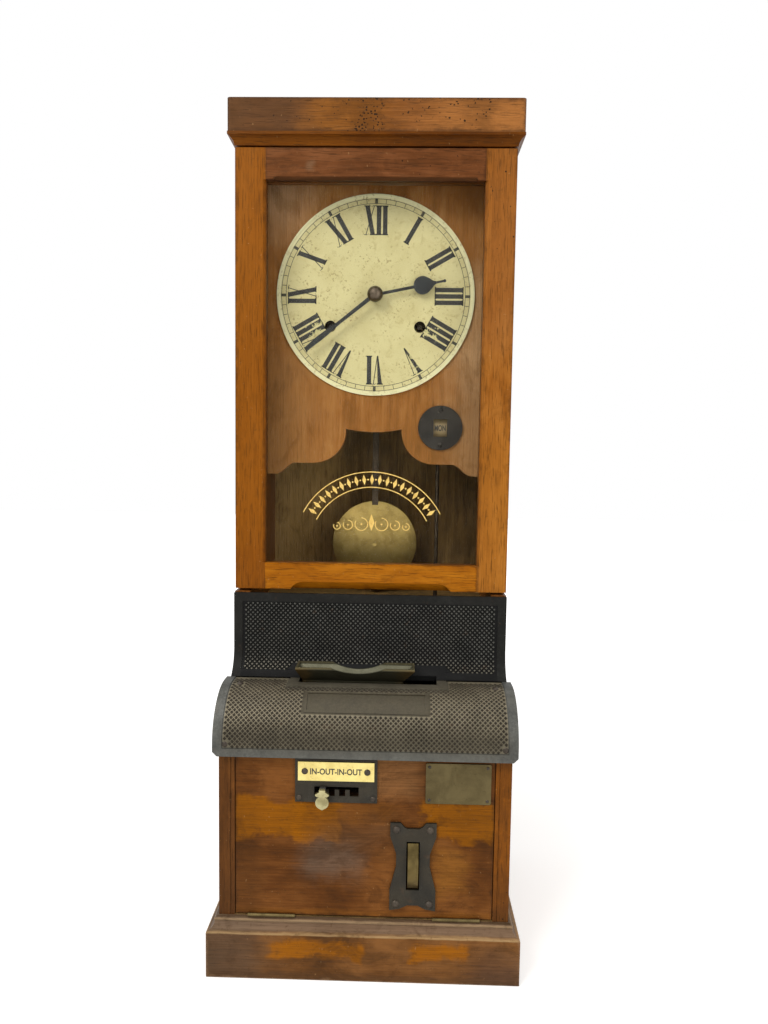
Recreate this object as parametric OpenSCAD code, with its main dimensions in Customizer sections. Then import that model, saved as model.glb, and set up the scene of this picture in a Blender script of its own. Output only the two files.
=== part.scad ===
// Card time recorder: a tall wooden wall case with a glazed clock door above,
// an iron cover with the card slot in the middle and a drop-front box below.
// Millimetres, +Z up, the front faces -Y, the origin is under the middle of the base.

/* [Case] */
// Width of the case over its two side boards
case_w = 320; // [312:1:345]
// Depth of the upper case from the face of the door to the back
upper_depth = 185; // [180:1:215]
// How far the lower box stands in front of the door
front_step = 83; // [81:0.5:90]
// Thickness of the side boards
side_t = 17.5; // [15:0.5:19]
// Thickness of the back board
back_t = 12; // [9:0.5:14]
// Thickness of the floor board of the box
floor_t = 14; // [10:0.5:20]
// Thickness of the shelf under the pendulum
shelf_t = 14; // [10:0.5:16]
// Height of the plinth with its sloping top
plinth_h = 66; // [60:1:80]
// Height of the sloping top of the plinth
plinth_slope_h = 14; // [8:1:20]
// How far the plinth stands out from the box
plinth_over = 12; // [11.8:0.1:16]
// Thickness of the top board
cornice_h = 36.5; // [26:0.5:45]
// How far the top board stands out from the case
cornice_over = 7.5; // [5:0.5:12]
// Height of the hollow moulding under the top board
cove_h = 13; // [9:0.5:18]

/* [Door] */
// Height of the glazed door
door_h = 505.5; // [500:0.5:530]
// Thickness of the door frame
door_t = 20; // [18:0.5:22]
// Width of the upright door stiles
stile_w = 35; // [30:0.5:37]
// Height of the top rail of the door
top_rail_h = 35; // [32:0.5:42]
// Height of the bottom rail of the door
bottom_rail_h = 31; // [26:0.5:38]
// Thickness of the door glass
glass_t = 3; // [2:0.5:4]
// Height of the chamfer on the top rail
top_chamfer = 3.5; // [2.5:0.5:5]
// Height of the chamfer on the bottom rail
bottom_chamfer = 9; // [5:0.5:11]

/* [Cover] */
// Height of the iron cover
cover_h = 162.5; // [158:0.5:172]
// Thickness of the iron cover
cover_t = 4.5; // [4:0.1:5]
// Radius of the hood
hood_r = 55; // [52:0.5:58]
// How far the hood stands out in front of the box
hood_out = 11.5; // [10:0.1:11.7]
// Radius of the hollow above the hood
hollow_r = 38; // [34:0.5:40]
// Height of the raised border and tablets on the cover
border_raise = 1; // [0.6:0.1:1.5]
// Width of the raised border
border_w = 10; // [8:0.5:12]
// Length of the card slot
slot_len = 158; // [154:1:172]

/* [Front panel] */
// Height of the drop front
panel_h = 180.5; // [176:0.5:200]
// Thickness of the drop front
panel_t = 18; // [15:0.5:19]
// Length of each hinge leaf
hinge_len = 52; // [40:1:60]
// Width of the lever escutcheon
escutcheon_w = 50.5; // [48:0.5:56]
// Height of the lever escutcheon
escutcheon_h = 99.5; // [97:0.5:102]
// Height of the slot for the lever
lever_slot_h = 55; // [52:0.5:58]
// Thickness of the brass lever
lever_w = 11.5; // [10:0.5:14]
// How far the brass lever stands out of the panel
lever_out = 11.5; // [8:0.5:11.6]
// Width of the in and out plate
io_w = 83; // [80:0.5:86]
// Height of the in and out plate
io_h = 21; // [17:0.5:22]
// Width of the number plate
number_w = 71; // [60:1:74]
// Height of the number plate
number_h = 45; // [38:0.5:46]

/* [Card carriage] */
// Distance between two print columns
column_pitch = 11.5; // [10:0.5:12]
// Inner width of the card chute
card_w = 112; // [108:1:113]
// Gap between the sheets of the chute
card_gap = 5; // [4.5:0.1:5.4]
// Thickness of the chute sheets
sheet_t = 1.2; // [0.8:0.1:1.4]
// Width of the funnel mouth
funnel_w = 135; // [128:1:138]
// Height of the upright rim of the funnel
lip_h = 2.5; // [1.5:0.5:4]

/* [Clock] */
// Diameter of the dial
dial_d = 238; // [232:1:244]
// How far the dial centre lies below the door's upper edge
dial_drop = 155; // [149.5:0.5:157.5]
// Thickness of the dial board
board_t = 12; // [10:0.5:13]
// Length of the minute hand from its centre
minute_len = 104.5; // [90:0.5:108]
// Length of the hour hand from its centre
hour_len = 86; // [70:0.5:88]
// Half the distance between the winding arbors
wind_x = 54; // [52:0.5:58]
// How far the winding arbors lie below the dial centre
wind_drop = 36.5; // [34:0.5:40]
// Diameter of the pendulum bob
bob_d = 112; // [96:1:114]
// Height of the bob's centre above the door's lower edge
bob_rise = 42; // [40:0.5:60]
// Diameter of the day escutcheon
day_d = 54; // [53:0.5:58]

/* [Hidden] */
$fn = 48;

// Clearances
fit = 0.05;
seat = 0.2;
air = 0.4;
cut = 1;

// Planes from front to back
depth = upper_depth + front_step + plinth_over;
back_y = depth / 2;
box_y = plinth_over - depth / 2;
door_y = box_y + front_step;
door_back_y = door_y + door_t;
case_y = door_back_y + air;
back_in_y = back_y - back_t;
panel_back_y = box_y + panel_t;

// Levels from the floor up
panel_z = plinth_h + 2;
cover_z = panel_z + panel_h + 2;
cover_top = cover_z + cover_h;
door_z = cover_top + 4;
door_top = door_z + door_h;
cove_z = door_top + 2;
cornice_z = cove_z + cove_h;
case_h = cornice_z + cornice_h;

// Insides of the case
half_w = case_w / 2;
in_w = case_w - 2 * side_t;

// The cover's section: a plate, a hollow, a flat top and the round hood
plate_y = door_y - 8;
plate_in_y = plate_y + cover_t;
hood_y = box_y - hood_out;
hood_c = [hood_y + hood_r, cover_z + 12];
hood_top = hood_c[1] + hood_r;
hollow_a = 55;
hollow_c = [plate_y - hollow_r, hood_top + 0.3 + hollow_r * sin(hollow_a)];
join_y = hollow_c[0] + hollow_r * cos(hollow_a) - 0.3;
lip_side = cover_t;
cover_w = case_w + 2 * lip_side;
knurl_half = cover_w / 2 - border_w;
pad_w = slot_len + 22;

// The card's line through the recorder
card_y = join_y - 8.3;
travel = 3 * column_pitch;
chute_x = -travel / 2;
chute_top = hood_top - 9;
chute_low = plinth_h + 34;
chute_front = card_y - card_gap / 2 - sheet_t;
chute_back = card_y + card_gap / 2 + sheet_t;
print_z = plinth_h + 109;
frame_x = 112;
frame_t = 3;
frame_front = panel_back_y + 4;
frame_back = frame_front + 172;
frame_top = hood_top - 17;
rod_d = 6;
rod_y = chute_back + 7.8;
rod_zs = [chute_low + 8, frame_top - 7];

// The type wheels and the shafts behind them
type_r = 34;
type_y = chute_back - 0.6 + type_r;
gear_r = 44;
lay_y = type_y + 2 * gear_r + 1;
shaft_d = 8;
gear_x = 96;

// The selector on the drop front
io_x = -31;
io_z = cover_z - 17;
comb_x = -30.6;
notch_x = comb_x - travel / 2 + 2.45;
arm_w = 6.4;
arm_t = 2.4;
slot_z = io_z - 23.1;
slot_h = 10.5;
comb_w = travel + 14;

// The lever on the drop front
lever_x = 54;
lever_z = plinth_h + 62.5;
lever_h = lever_slot_h - 3.6;
pivot = [panel_back_y + 12, lever_z + 97];

// The clock's centre and the planes of its movement
dial_z = door_top - dial_drop;
board_y = door_y + 45;
board_back = board_y + board_t;
dial_t = 1.6;
hand_y = board_y - 8.5;
front_plate_y = board_back + 8;
plate_gap = 39.5;
plate_t = 2.5;
back_plate_y = front_plate_y + plate_t + plate_gap;
escape_z = dial_z + 42;
escape_r = 16;
anchor_z = escape_z + 26;
wind_z = dial_z - wind_drop;
pendulum_y = back_plate_y + plate_t + 15.5;
bob_z = door_z + bob_rise;
rod_w = 8;
rod_t = 3;

// The day window and the upright drive shaft
day_x = 81;
day_z = dial_z - 157;
drum_r = 20;
drum_y = board_y + 22.5;
drive_y = lay_y;

// Hinge pins
door_pin = [-half_w - 1.2, door_back_y + air / 2];
panel_pin = [box_y - 2, plinth_h + 1.4];
knuckle_r = 1.8;
door_knuckle_r = 2.4;
door_hinge_zs = [door_z + 75, door_top - 75];
panel_hinge_xs = [41 - in_w / 2, in_w / 2 - 40.2];

wood = "#8a4f1c";
dark_wood = "#6b3714";
iron = "#3b3c3a";
brass = "#b08d3c";
steel = "#8b8f92";

// A bar between two corners
module bar(a, b) { translate(a) cube(b - a); }

// A cylinder along X, Y or Z from a start point
module rod_x(p, d, l) { translate(p) rotate([0, 90, 0]) cylinder(d = d, h = l); }
module rod_yy(p, d, l) { translate(p) rotate([-90, 0, 0]) cylinder(d = d, h = l); }

// A section drawn in Y and Z, pushed along X over a width
module along_x(w, x0 = undef) {
  start = x0 == undef ? -w / 2 : x0;
  translate([start, 0, 0]) rotate([90, 0, 90]) linear_extrude(w) children();
}

// Faces drawn in X and Z, with their front at a given Y
module facing(y, t) {
  for (i = [0:$children - 1]) translate([0, y + t, 0]) rotate([90, 0, 0])
    linear_extrude(t) children(i);
}

// A rectangle with round corners
module round_rect(w, h, r) {
  square([w - 2 * r, h], center = true);
  square([w, h - 2 * r], center = true);
  for (x = [-1, 1], y = [-1, 1]) translate([x * (w / 2 - r), y * (h / 2 - r)]) circle(r);
}

// A toothed wheel in the plane, its tip radius and tooth count given
function tooth(r, n, depth) = [for (i = [0:n - 1], k = [0:3])
  let (a = (i + [0.05, 0.3, 0.5, 0.85][k]) * 360 / n, q = k == 1 || k == 2 ? r : r - depth)
  [q * cos(a), q * sin(a)]];
module gear(r, n, t, depth = 1.6, bore = 0, spokes = 0) {
  linear_extrude(t) difference() {
    polygon(tooth(r, n, depth));
    if (bore > 0) circle(d = bore);
    if (spokes > 0) for (i = [0:spokes - 1])
      rotate(i * 360 / spokes + 45) translate([r * 0.56, 0]) circle(r * 0.24);
  }
}

// The same wheel standing across Y or X
module gear_y(p, r, n, t, depth = 1.6, bore = 0, spokes = 0) {
  translate([p[0], p[1] + t, p[2]]) rotate([90, 0, 0]) gear(r, n, t, depth, bore, spokes);
}
module gear_x_axis(p, r, n, t, depth = 1.6, bore = 0, spokes = 0) {
  translate(p) rotate([90, 0, 90]) gear(r, n, t, depth, bore, spokes);
}

// The plinth's boards and mitres
module plinth_section() {
  polygon([[0, 0], [plinth_over - seat, 0], [plinth_over - seat, plinth_h - seat],
    [0, plinth_h - plinth_slope_h]]);
}
module plinth_boards() color(dark_wood) {
  outer = half_w + plinth_over;
  front = box_y - plinth_over;
  intersection() {
    along_x(2 * outer) translate([front, 0]) plinth_section();
    linear_extrude(plinth_h) polygon([[seat - outer, front], [outer - seat, front],
      [half_w - seat, box_y], [seat - half_w, box_y]]);
  }
  for (side = [-1, 1]) intersection() {
    mirror([side > 0 ? 1 : 0, 0, 0]) translate([-outer, back_y, 0])
      rotate([90, 0, 0]) linear_extrude(depth) plinth_section();
    linear_extrude(plinth_h) polygon([[side * outer, front + seat], [side * outer, back_y],
      [side * half_w, back_y], [side * half_w, box_y + seat]]);
  }
}

module bottom_board() color(dark_wood)
  bar([-in_w / 2, box_y, plinth_h - floor_t], [in_w / 2, back_in_y, plinth_h]);

// The side boards follow the cover's section from inside
module side_section() {
  off = cover_t + air;
  difference() {
    union() {
      translate([box_y, 0]) square([back_y - box_y, hood_c[1]]);
      intersection() {
        translate([box_y, 0]) square([back_y - box_y, cornice_z]);
        translate(hood_c) circle(hood_r - off);
      }
      translate([hood_c[0], 0]) square([back_y - hood_c[0], hood_top - off]);
      translate([plate_in_y + air, 0]) square([back_y - plate_in_y - air, cover_top + 1]);
      difference() {
        translate([join_y, 0]) square([back_y - join_y, hollow_c[1]]);
        translate(hollow_c) circle(hollow_r + off);
      }
      translate([case_y, 0]) square([back_y - case_y, cornice_z]);
    }
  }
}
// A fine groove runs down the front edge of each board
side_groove = 4.5;
module side_boards() color(wood) {
  for (side = [-1, 1]) difference() {
    along_x(side_t, side > 0 ? half_w - side_t : -half_w) side_section();
    if (side < 0) for (z = door_hinge_zs)
      bar([-half_w - cut, case_y - cut, z - hinge_len / 2 - seat],
        [-half_w + 1.6, case_y + 18, z + hinge_len / 2 + seat]);
    bar([side * (in_w / 2 + side_groove) - 0.4, box_y - cut, plinth_h],
      [side * (in_w / 2 + side_groove) + 0.4, box_y + 0.8, cover_z]);
  }
}

module back_board() color(dark_wood) difference() {
  bar([-in_w / 2, back_in_y, 0], [in_w / 2, back_y, cornice_z]);
  for (x = [-1, 1]) rod_yy([x * 110, back_in_y - cut, door_z + 3], 7, back_t + 2 * cut);
}

module cornice() color(wood)
  translate([0, (door_y - cornice_over + back_y) / 2, cornice_z]) linear_extrude(cornice_h)
    round_rect(case_w + 2 * cornice_over, back_y - door_y + cornice_over, 4);

// The hollow moulding: a front strip and a return on each side
cove_r = cove_h - 1;
module cove_curve(h) difference() {
  square([cornice_over, h]);
  translate([0.6 + sqrt(cove_r * cove_r - 1), -1]) circle(cove_r, $fn = 96);
}
module cove_moulding() color(wood) {
  reach = half_w + cornice_over;
  intersection() {
    along_x(2 * reach) {
      translate([door_y, cove_z]) square([door_t, cove_h]);
      translate([door_y, cove_z]) mirror([1, 0]) cove_curve(cove_h);
    }
    translate([0, door_back_y, 0]) rotate([90, 0, 0]) linear_extrude(door_t + cornice_over) {
      translate([-half_w, cove_z]) square([case_w, cove_h]);
      translate([half_w, cove_z]) cove_curve(cove_h);
      mirror([1, 0]) translate([half_w, cove_z]) cove_curve(cove_h);
    }
  }
  for (side = [0, 1]) mirror([side, 0, 0]) translate([half_w, back_y, cove_z])
    rotate([90, 0, 0]) linear_extrude(back_y - door_back_y - seat) cove_curve(cove_h);
}

shelf_top = bob_z - bob_d / 2 - 12;
module shelf_board() color(dark_wood) difference() {
  bar([-in_w / 2, plate_in_y + 12, shelf_top - shelf_t], [in_w / 2, back_in_y, shelf_top]);
  translate([day_x, drive_y, shelf_top - shelf_t - cut])
    cylinder(d = 5 + 2 * fit, h = shelf_t + 2 * cut);
}

// The dial board's lower edge: two flat wings, an S-curve to each side and a high middle
wing_z = door_z + 149;
edge_z = wing_z - 14;
arch_half = 34;
arch_top = dial_z - sqrt(163 * 163 - arch_half * arch_half);
function s_curve(x0, x1, z0, z1, n) = [for (i = [0:n])
  [x0 + (x1 - x0) * i / n, (z0 + z1) / 2 + (z0 - z1) / 2 * cos(180 * i / n)]];
module dial_board() color(wood) difference() {
  facing(board_y, board_t) difference() {
    translate([-in_w / 2, edge_z]) square([in_w, cornice_z - edge_z]);
    for (m = [0, 1]) mirror([m, 0]) {
      polygon(concat([[0, edge_z - cut], [0, wing_z], [96, wing_z]],
        s_curve(96, 120, wing_z, edge_z, 10), [[120, edge_z - cut]]));
      difference() {
        translate([arch_half - cut, wing_z - cut]) square([41, 41]);
        translate([74, wing_z + 40]) circle(40);
      }
    }
    difference() {
      translate([-arch_half, wing_z - cut]) square([2 * arch_half, arch_top - wing_z + cut]);
      translate([0, dial_z]) circle(163, $fn = 180);
    }
  }
  rod_yy([0, board_y - cut, dial_z], 20, board_t + 2 * cut);
  for (x = [-1, 1]) rod_yy([x * wind_x, board_y - cut, wind_z], 18, board_t + 2 * cut);
  bar([day_x - 18.5, board_y - cut, day_z - 18.5], [day_x + 18.5, board_back + cut, day_z + 18.5]);
}

// The cover's section, drawn in Y and Z, moved inward by off
module hood_area(off) {
  intersection() {
    union() {
      translate(hood_c) circle(hood_r - off);
      translate([hood_c[0], cover_z]) square([join_y - hood_c[0], hood_top - off - cover_z]);
      translate([hood_y + off, cover_z]) square([hood_r, hood_c[1] - cover_z]);
    }
    translate([hood_y - cut, cover_z]) square([join_y - hood_y + cut, hood_r + 20]);
  }
}
module hood_skin(from, to) {
  difference() {
    hood_area(from);
    translate([0, -0.001]) hood_area(to);
    translate([hood_y + to, cover_z - cut]) square([join_y - hood_y, 2 * cut]);
    translate([hood_c[0], cover_z - cut]) square([join_y - hood_c[0] + cut, hood_top - to - cover_z + cut]);
  }
}
module plate_area(off) {
  translate([plate_y + off, hollow_c[1] - 0.02]) square([40 - off, cover_top - hollow_c[1] + 0.02]);
  intersection() {
    difference() {
      translate([join_y - 30, hood_top - 30]) square([100, hollow_c[1] - hood_top + 30]);
      translate(hollow_c) circle(hollow_r + off);
    }
    translate(hollow_c) polygon([[0, 0], [200 * cos(hollow_a), -200 * sin(hollow_a)], [200, 0]]);
  }
}
module plate_skin(from, to) {
  difference() {
    plate_area(from);
    plate_area(to);
    translate([plate_y + to, hollow_c[1] - cut]) square([60, cover_h]);
  }
}

slot_front = card_y - 8;
slot_back = card_y + 13;
module card_slot_cut()
  bar([-slot_len / 2, slot_front, hood_top - 20], [slot_len / 2, slot_back, hood_top + 12]);

module cover_back_plate() color(iron) difference() {
  union() {
    along_x(case_w) plate_skin(border_raise, cover_t);
    intersection() {
      along_x(case_w) plate_skin(0, border_raise);
      union() {
        bar([-half_w, plate_y - 60, cover_top - border_w], [half_w, plate_in_y, cover_top]);
        for (m = [-1, 1]) translate([m * (half_w - border_w / 2), plate_y - 30, cover_z + cover_h / 2])
          cube([border_w, 100, cover_h + 2], center = true);
        bar([-half_w, plate_y - 60, hood_top - 5], [half_w, plate_in_y, hood_top + 7]);
        bar([-pad_w / 2, plate_y - 60, hood_top - 5], [pad_w / 2, plate_in_y, hood_top + 14]);
      }
    }
  }
  card_slot_cut();
}

// The bare tablet on the hood, between two angles from the top of the curve
tablet_w = 136;
tablet_a = [22, 51];
module wedge(a0, a1) translate(hood_c)
  polygon([[0, 0], [-120 * sin(a0), 120 * cos(a0)], [-120 * sin(a1), 120 * cos(a1)]]);
module cover_hood() color(iron) difference() {
  union() {
    along_x(cover_w) hood_skin(border_raise, cover_t);
    for (m = [0, 1]) mirror([m, 0, 0]) {
      along_x(border_w, knurl_half) hood_skin(0, border_raise);
      along_x(lip_side - seat, half_w + seat) hood_skin(cover_t, cover_t + 7);
    }
    intersection() {
      along_x(cover_w) hood_skin(0, border_raise);
      union() {
        bar([-half_w - lip_side, hood_y, cover_z], [half_w + lip_side, box_y + 10, cover_z + 9]);
        bar([-pad_w / 2, join_y - 28, cover_z], [pad_w / 2, join_y, hood_top]);
      }
    }
    difference() {
      along_x(tablet_w) intersection() { hood_skin(0, border_raise); wedge(tablet_a[0], tablet_a[1]); }
      along_x(tablet_w - 6) wedge(tablet_a[0] + 3, tablet_a[1] - 3);
    }
  }
  card_slot_cut();
  for (m = [-1, 1]) translate([m * (half_w + 6), hood_y - cut, cover_z]) rotate([0, 45, 0])
    cube([9, 2 * hood_r, 9], center = true);
}

// Round-headed screws of the cover
module dome_screw(d, h) {
  intersection() {
    translate([0, 0, h - d * 0.62]) sphere(d = d * 1.24);
    cylinder(d = d, h = h);
  }
}
module cover_screws() color(steel) for (m = [-1, 1]) {
  translate([m * (half_w - 9), hood_y + border_raise, cover_z + 13.2]) rotate([90, 0, 0])
    dome_screw(7, 1.4);
  translate([m * (half_w - 16), hood_c[0], hood_c[1]]) rotate([8, 0, 0])
    translate([0, 0, hood_r - border_raise]) dome_screw(7, 2.4);
}

module dial() color("#e6deb0") translate([0, board_y, dial_z]) rotate([90, 0, 0]) difference() {
  rotate_extrude() {
    square([dial_d / 2 - 2, dial_t]);
    translate([dial_d / 2 - 2.4, 0]) square([2.4, dial_t + 0.9]);
  }
  translate([0, 0, -cut]) cylinder(d = 12, h = 9);
  for (x = [-1, 1]) translate([x * wind_x, -wind_drop, -cut]) cylinder(d = 13.8, h = 9);
}

module day_escutcheon() color(iron) difference() {
  union() {
    rod_yy([day_x, board_y - 2.5, day_z], day_d, 2.5);
    for (m = [-1, 1]) bar([day_x + m * 15 - 1, board_y - cut, day_z - 7],
      [day_x + m * 15 + 1, drum_y + 6, day_z + 7]);
    for (m = [-1, 1]) translate([day_x, board_y - 2.5, day_z + m * 21]) rotate([90, 0, 0])
      dome_screw(6, 1.6);
  }
  bar([day_x - 8.2, board_y - 9, day_z - 10.5], [day_x + 8.2, board_y + cut, day_z + 10.5]);
  rod_x([day_x - 30, drum_y, day_z], 4 + 2 * fit, 60);
}

// The plates of the movement, with a bore for each arbor
plate_w = 216;
plate_low = wind_z - 55;
plate_top = anchor_z + 12;
module arbor_bores(y) {
  rod_yy([0, y, dial_z], 6 + 2 * fit, 9);
  for (x = [-1, 1]) rod_yy([x * wind_x, y, wind_z], 8 + 2 * fit, 9);
  rod_yy([0, y, escape_z], 4 + 2 * fit, 9);
  rod_yy([0, y, anchor_z], 4 + 2 * fit, 9);
}
module movement_plate(y) difference() {
  bar([-plate_w / 2, y, plate_low], [plate_w / 2, y + plate_t, plate_top]);
  arbor_bores(y - 3);
}
pillar_zs = [plate_low + 9, plate_top - 9];
module movement_front_plate() color(brass) {
  movement_plate(front_plate_y);
  rod_yy([24, front_plate_y - 6.8, dial_z], 3, 6.8);
  for (x = [-1, 1], z = pillar_zs)
    rod_yy([x * (plate_w / 2 - 9), board_back, z], 8, front_plate_y - board_back);
}
module movement_back_plate() color(brass) {
  movement_plate(back_plate_y);
  for (x = [-1, 1], z = pillar_zs)
    rod_yy([x * (plate_w / 2 - 9), front_plate_y + plate_t, z], 10, plate_gap);
}

bracket_y = back_in_y - 10;
post_y = back_plate_y + plate_t;
module movement_bracket() color(iron) {
  bar([-62, bracket_y, wind_z - 30], [62, back_in_y, anchor_z + 24]);
  for (x = [-50, 50], z = [wind_z - 18, anchor_z + 4])
    rod_yy([x, post_y, z], 14, bracket_y - post_y);
  bar([-10, pendulum_y - 8, anchor_z + 10], [10, bracket_y, anchor_z + 22]);
  for (y = [pendulum_y - 8, pendulum_y + 2.5])
    bar([-10, y, anchor_z - 7], [10, y + 5.5, anchor_z + 10]);
  rod_yy([0, pendulum_y - 8, anchor_z], 4, 16);
}

// The recorder's frame: two cheeks on the floor board and a bar that carries the ribbon pins
spool_x = 60;
spool_z = print_z + 63;
spool_y = chute_back + 25;
frame_bar_y = spool_y + 4;
module recorder_frame() color(iron) {
  for (m = [-1, 1]) difference() {
    bar([m > 0 ? frame_x : -frame_x - frame_t, frame_front, plinth_h],
      [m > 0 ? frame_x + frame_t : -frame_x, frame_back, frame_top]);
    rod_x([m * frame_x - 9, type_y, print_z], shaft_d + 2 * fit, 18);
    rod_x([m * frame_x - 9, lay_y, print_z], shaft_d + 2 * fit, 18);
    rod_x([m * frame_x - 9, hammer_pivot[0], hammer_pivot[1]], shaft_d + 2 * fit, 18);
    for (z = rod_zs) rod_x([m * frame_x - 9, rod_y, z], rod_d + 2 * fit, 18);
  }
  bar([-frame_x, frame_bar_y, spool_z - 8], [frame_x, frame_bar_y + 3, spool_z + 8]);
  for (m = [-1, 1]) rod_yy([m * spool_x, spool_y - 14, spool_z], 5, frame_bar_y - spool_y + 14);
  for (m = [-1, 1]) bar([m > 0 ? frame_x - 12 : -frame_x, frame_front + 20, plinth_h],
    [m > 0 ? frame_x : 12 - frame_x, frame_back - 20, plinth_h + 3]);
}
module guide_rods() color(steel)
  for (z = rod_zs) rod_x([-frame_x - frame_t, rod_y, z], rod_d, 2 * (frame_x + frame_t));

// Hinges: two upright ones on the left of the door, two lying ones under the drop front
module door_knuckle(z0, z1, bore) translate([door_pin[0], door_pin[1], z0]) difference() {
  cylinder(r = door_knuckle_r, h = z1 - z0);
  if (bore > 0) translate([0, 0, -cut]) cylinder(d = bore, h = z1 - z0 + 2 * cut);
}
module panel_knuckle(x0, x1, bore) difference() {
  rod_x([x0, panel_pin[0], panel_pin[1]], 2 * knuckle_r, x1 - x0);
  if (bore > 0) rod_x([x0 - cut, panel_pin[0], panel_pin[1]], bore, x1 - x0 + 2 * cut);
}
third = hinge_len / 3;
module case_hinge_leaves() color(brass) {
  for (z = door_hinge_zs) {
    difference() {
      bar([-half_w, case_y, z - hinge_len / 2], [-half_w + 1.5, case_y + 17, z + hinge_len / 2]);
      translate([door_pin[0], door_pin[1], z - third / 2 - seat])
        cylinder(r = door_knuckle_r + 0.3, h = third + 2 * seat);
    }
    for (s = [-1, 1]) {
      door_knuckle(z + s * third - third / 2, z + s * third + third / 2, 0);
      bar([-half_w - 0.6, case_y, z + s * third - third / 2],
        [-half_w + 0.2, case_y + 2.6, z + s * third + third / 2]);
    }
    translate([door_pin[0], door_pin[1], z - third]) cylinder(d = 2.5, h = 2 * third);
  }
  for (x = panel_hinge_xs) {
    bar([x - hinge_len / 2, box_y, plinth_h], [x + hinge_len / 2, box_y + 15, plinth_h + 0.8]);
    for (s = [-1, 1]) {
      panel_knuckle(x + s * third - third / 2, x + s * third + third / 2, 0);
      bar([x + s * third - third / 2, panel_pin[0], plinth_h],
        [x + s * third + third / 2, box_y + 1, plinth_h + 0.8]);
    }
    rod_x([x - third, panel_pin[0], panel_pin[1]], 1.6, 2 * third);
  }
}
module door_hinge_leaves() color(brass) for (z = door_hinge_zs) {
  difference() {
    union() {
      bar([-half_w, door_back_y - 17, z - hinge_len / 2], [-half_w + 1.5, door_back_y, z + hinge_len / 2]);
      door_knuckle(z - third / 2 + seat, z + third / 2 - seat, 0);
      bar([-half_w - 0.6, door_back_y - 2.6, z - third / 2 + seat],
        [-half_w + 0.2, door_back_y, z + third / 2 - seat]);
    }
    translate([door_pin[0], door_pin[1], z - third]) cylinder(d = 2.5 + 2 * fit, h = 2 * third);
    for (s = [-1, 1]) translate([door_pin[0], door_pin[1], z + s * third - third / 2 - seat])
      cylinder(r = door_knuckle_r + 0.3, h = third + 2 * seat);
  }
}
module panel_hinge_leaves() color(brass) for (x = panel_hinge_xs) difference() {
  union() {
    bar([x - hinge_len / 2, box_y, panel_z - 0.8], [x + hinge_len / 2, box_y + 15, panel_z]);
    panel_knuckle(x - third / 2 + seat, x + third / 2 - seat, 0);
    bar([x - third / 2 + seat, panel_pin[0], panel_z - 0.8], [x + third / 2 - seat, box_y + 1, panel_z]);
  }
  rod_x([x - third, panel_pin[0], panel_pin[1]], 1.6 + 2 * fit, 2 * third);
}

// The door: two stiles, two rails, a pane in a rebate and four beads
open_w = case_w - 2 * stile_w;
open_low = door_z + bottom_rail_h;
open_top = door_top - top_rail_h;
rebate = 8;
pane_y = door_y + 8;
module door_rebate() bar([-open_w / 2 - rebate, pane_y, open_low - rebate],
  [open_w / 2 + rebate, door_back_y + cut, open_top + rebate]);
stile_chamfer = 3;
module door_stiles() color(wood) difference() {
  for (x = [-half_w, half_w - stile_w]) bar([x, door_y, door_z], [x + stile_w, door_back_y, door_top]);
  door_rebate();
  for (m = [0, 1]) mirror([m, 0, 0]) translate([open_w / 2, door_y, open_low])
    linear_extrude(open_top - open_low)
    polygon([[-cut, -cut], [stile_chamfer + cut, -cut], [-cut, stile_chamfer + cut]]);
  for (z = door_hinge_zs) bar([-half_w - cut, door_back_y - 18, z - hinge_len / 2 - seat],
    [-half_w + 1.6, door_back_y + cut, z + hinge_len / 2 + seat]);
}

// A chamfer along a rail's lower front edge, run out at both ends in a hollow
module stopped_chamfer(z, size, len) {
  intersection() {
    along_x(len) translate([door_y, z]) polygon([[-cut, -cut], [size * 0.8 , -cut], [size * 0.8, 0],
      [0, size], [-cut, size]]);
    translate([0, door_y + size, z]) rotate([90, 0, 0]) linear_extrude(3 * size) {
      square([len - 4 * size, 3 * size], center = true);
      for (m = [-1, 1]) translate([m * (len / 2 - 2 * size), -size]) circle(2 * size);
    }
  }
}
module door_top_rail() color(wood) difference() {
  bar([-open_w / 2, door_y, open_top], [open_w / 2, door_back_y, door_top]);
  door_rebate();
  stopped_chamfer(open_top, top_chamfer, open_w - 15);
}
module door_bottom_rail() color(wood) difference() {
  bar([-open_w / 2, door_y, door_z], [open_w / 2, door_back_y, open_low]);
  door_rebate();
  stopped_chamfer(door_z, bottom_chamfer, open_w - 56);
}
module door_glass() color("#c8d8d8", 0.3) bar(
  [-open_w / 2 - rebate + seat, pane_y, open_low - rebate + seat],
  [open_w / 2 + rebate - seat, pane_y + glass_t, open_top + rebate - seat]);
module glazing_beads() color(dark_wood) {
  y0 = pane_y + glass_t;
  for (m = [-1, 1]) bar([m > 0 ? open_w / 2 + seat : -open_w / 2 - rebate, y0, open_low - rebate],
    [m > 0 ? open_w / 2 + rebate : -open_w / 2 - seat, door_back_y - 1, open_top + rebate]);
  for (z = [open_low - rebate, open_top])
    bar([-open_w / 2, y0, z], [open_w / 2, door_back_y - 1, z + rebate - seat]);
}

// A spring catch behind the right stile, its tongue inside the side board
module door_catch() color(brass) {
  bar([open_w / 2 + rebate + 1, door_back_y, door_z + 235],
    [in_w / 2 - 1.5, door_back_y + 1.5, door_z + 285]);
  bar([in_w / 2 - 5, door_back_y, door_z + 250], [in_w / 2 - 1.5, door_back_y + 16, door_z + 270]);
}

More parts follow.
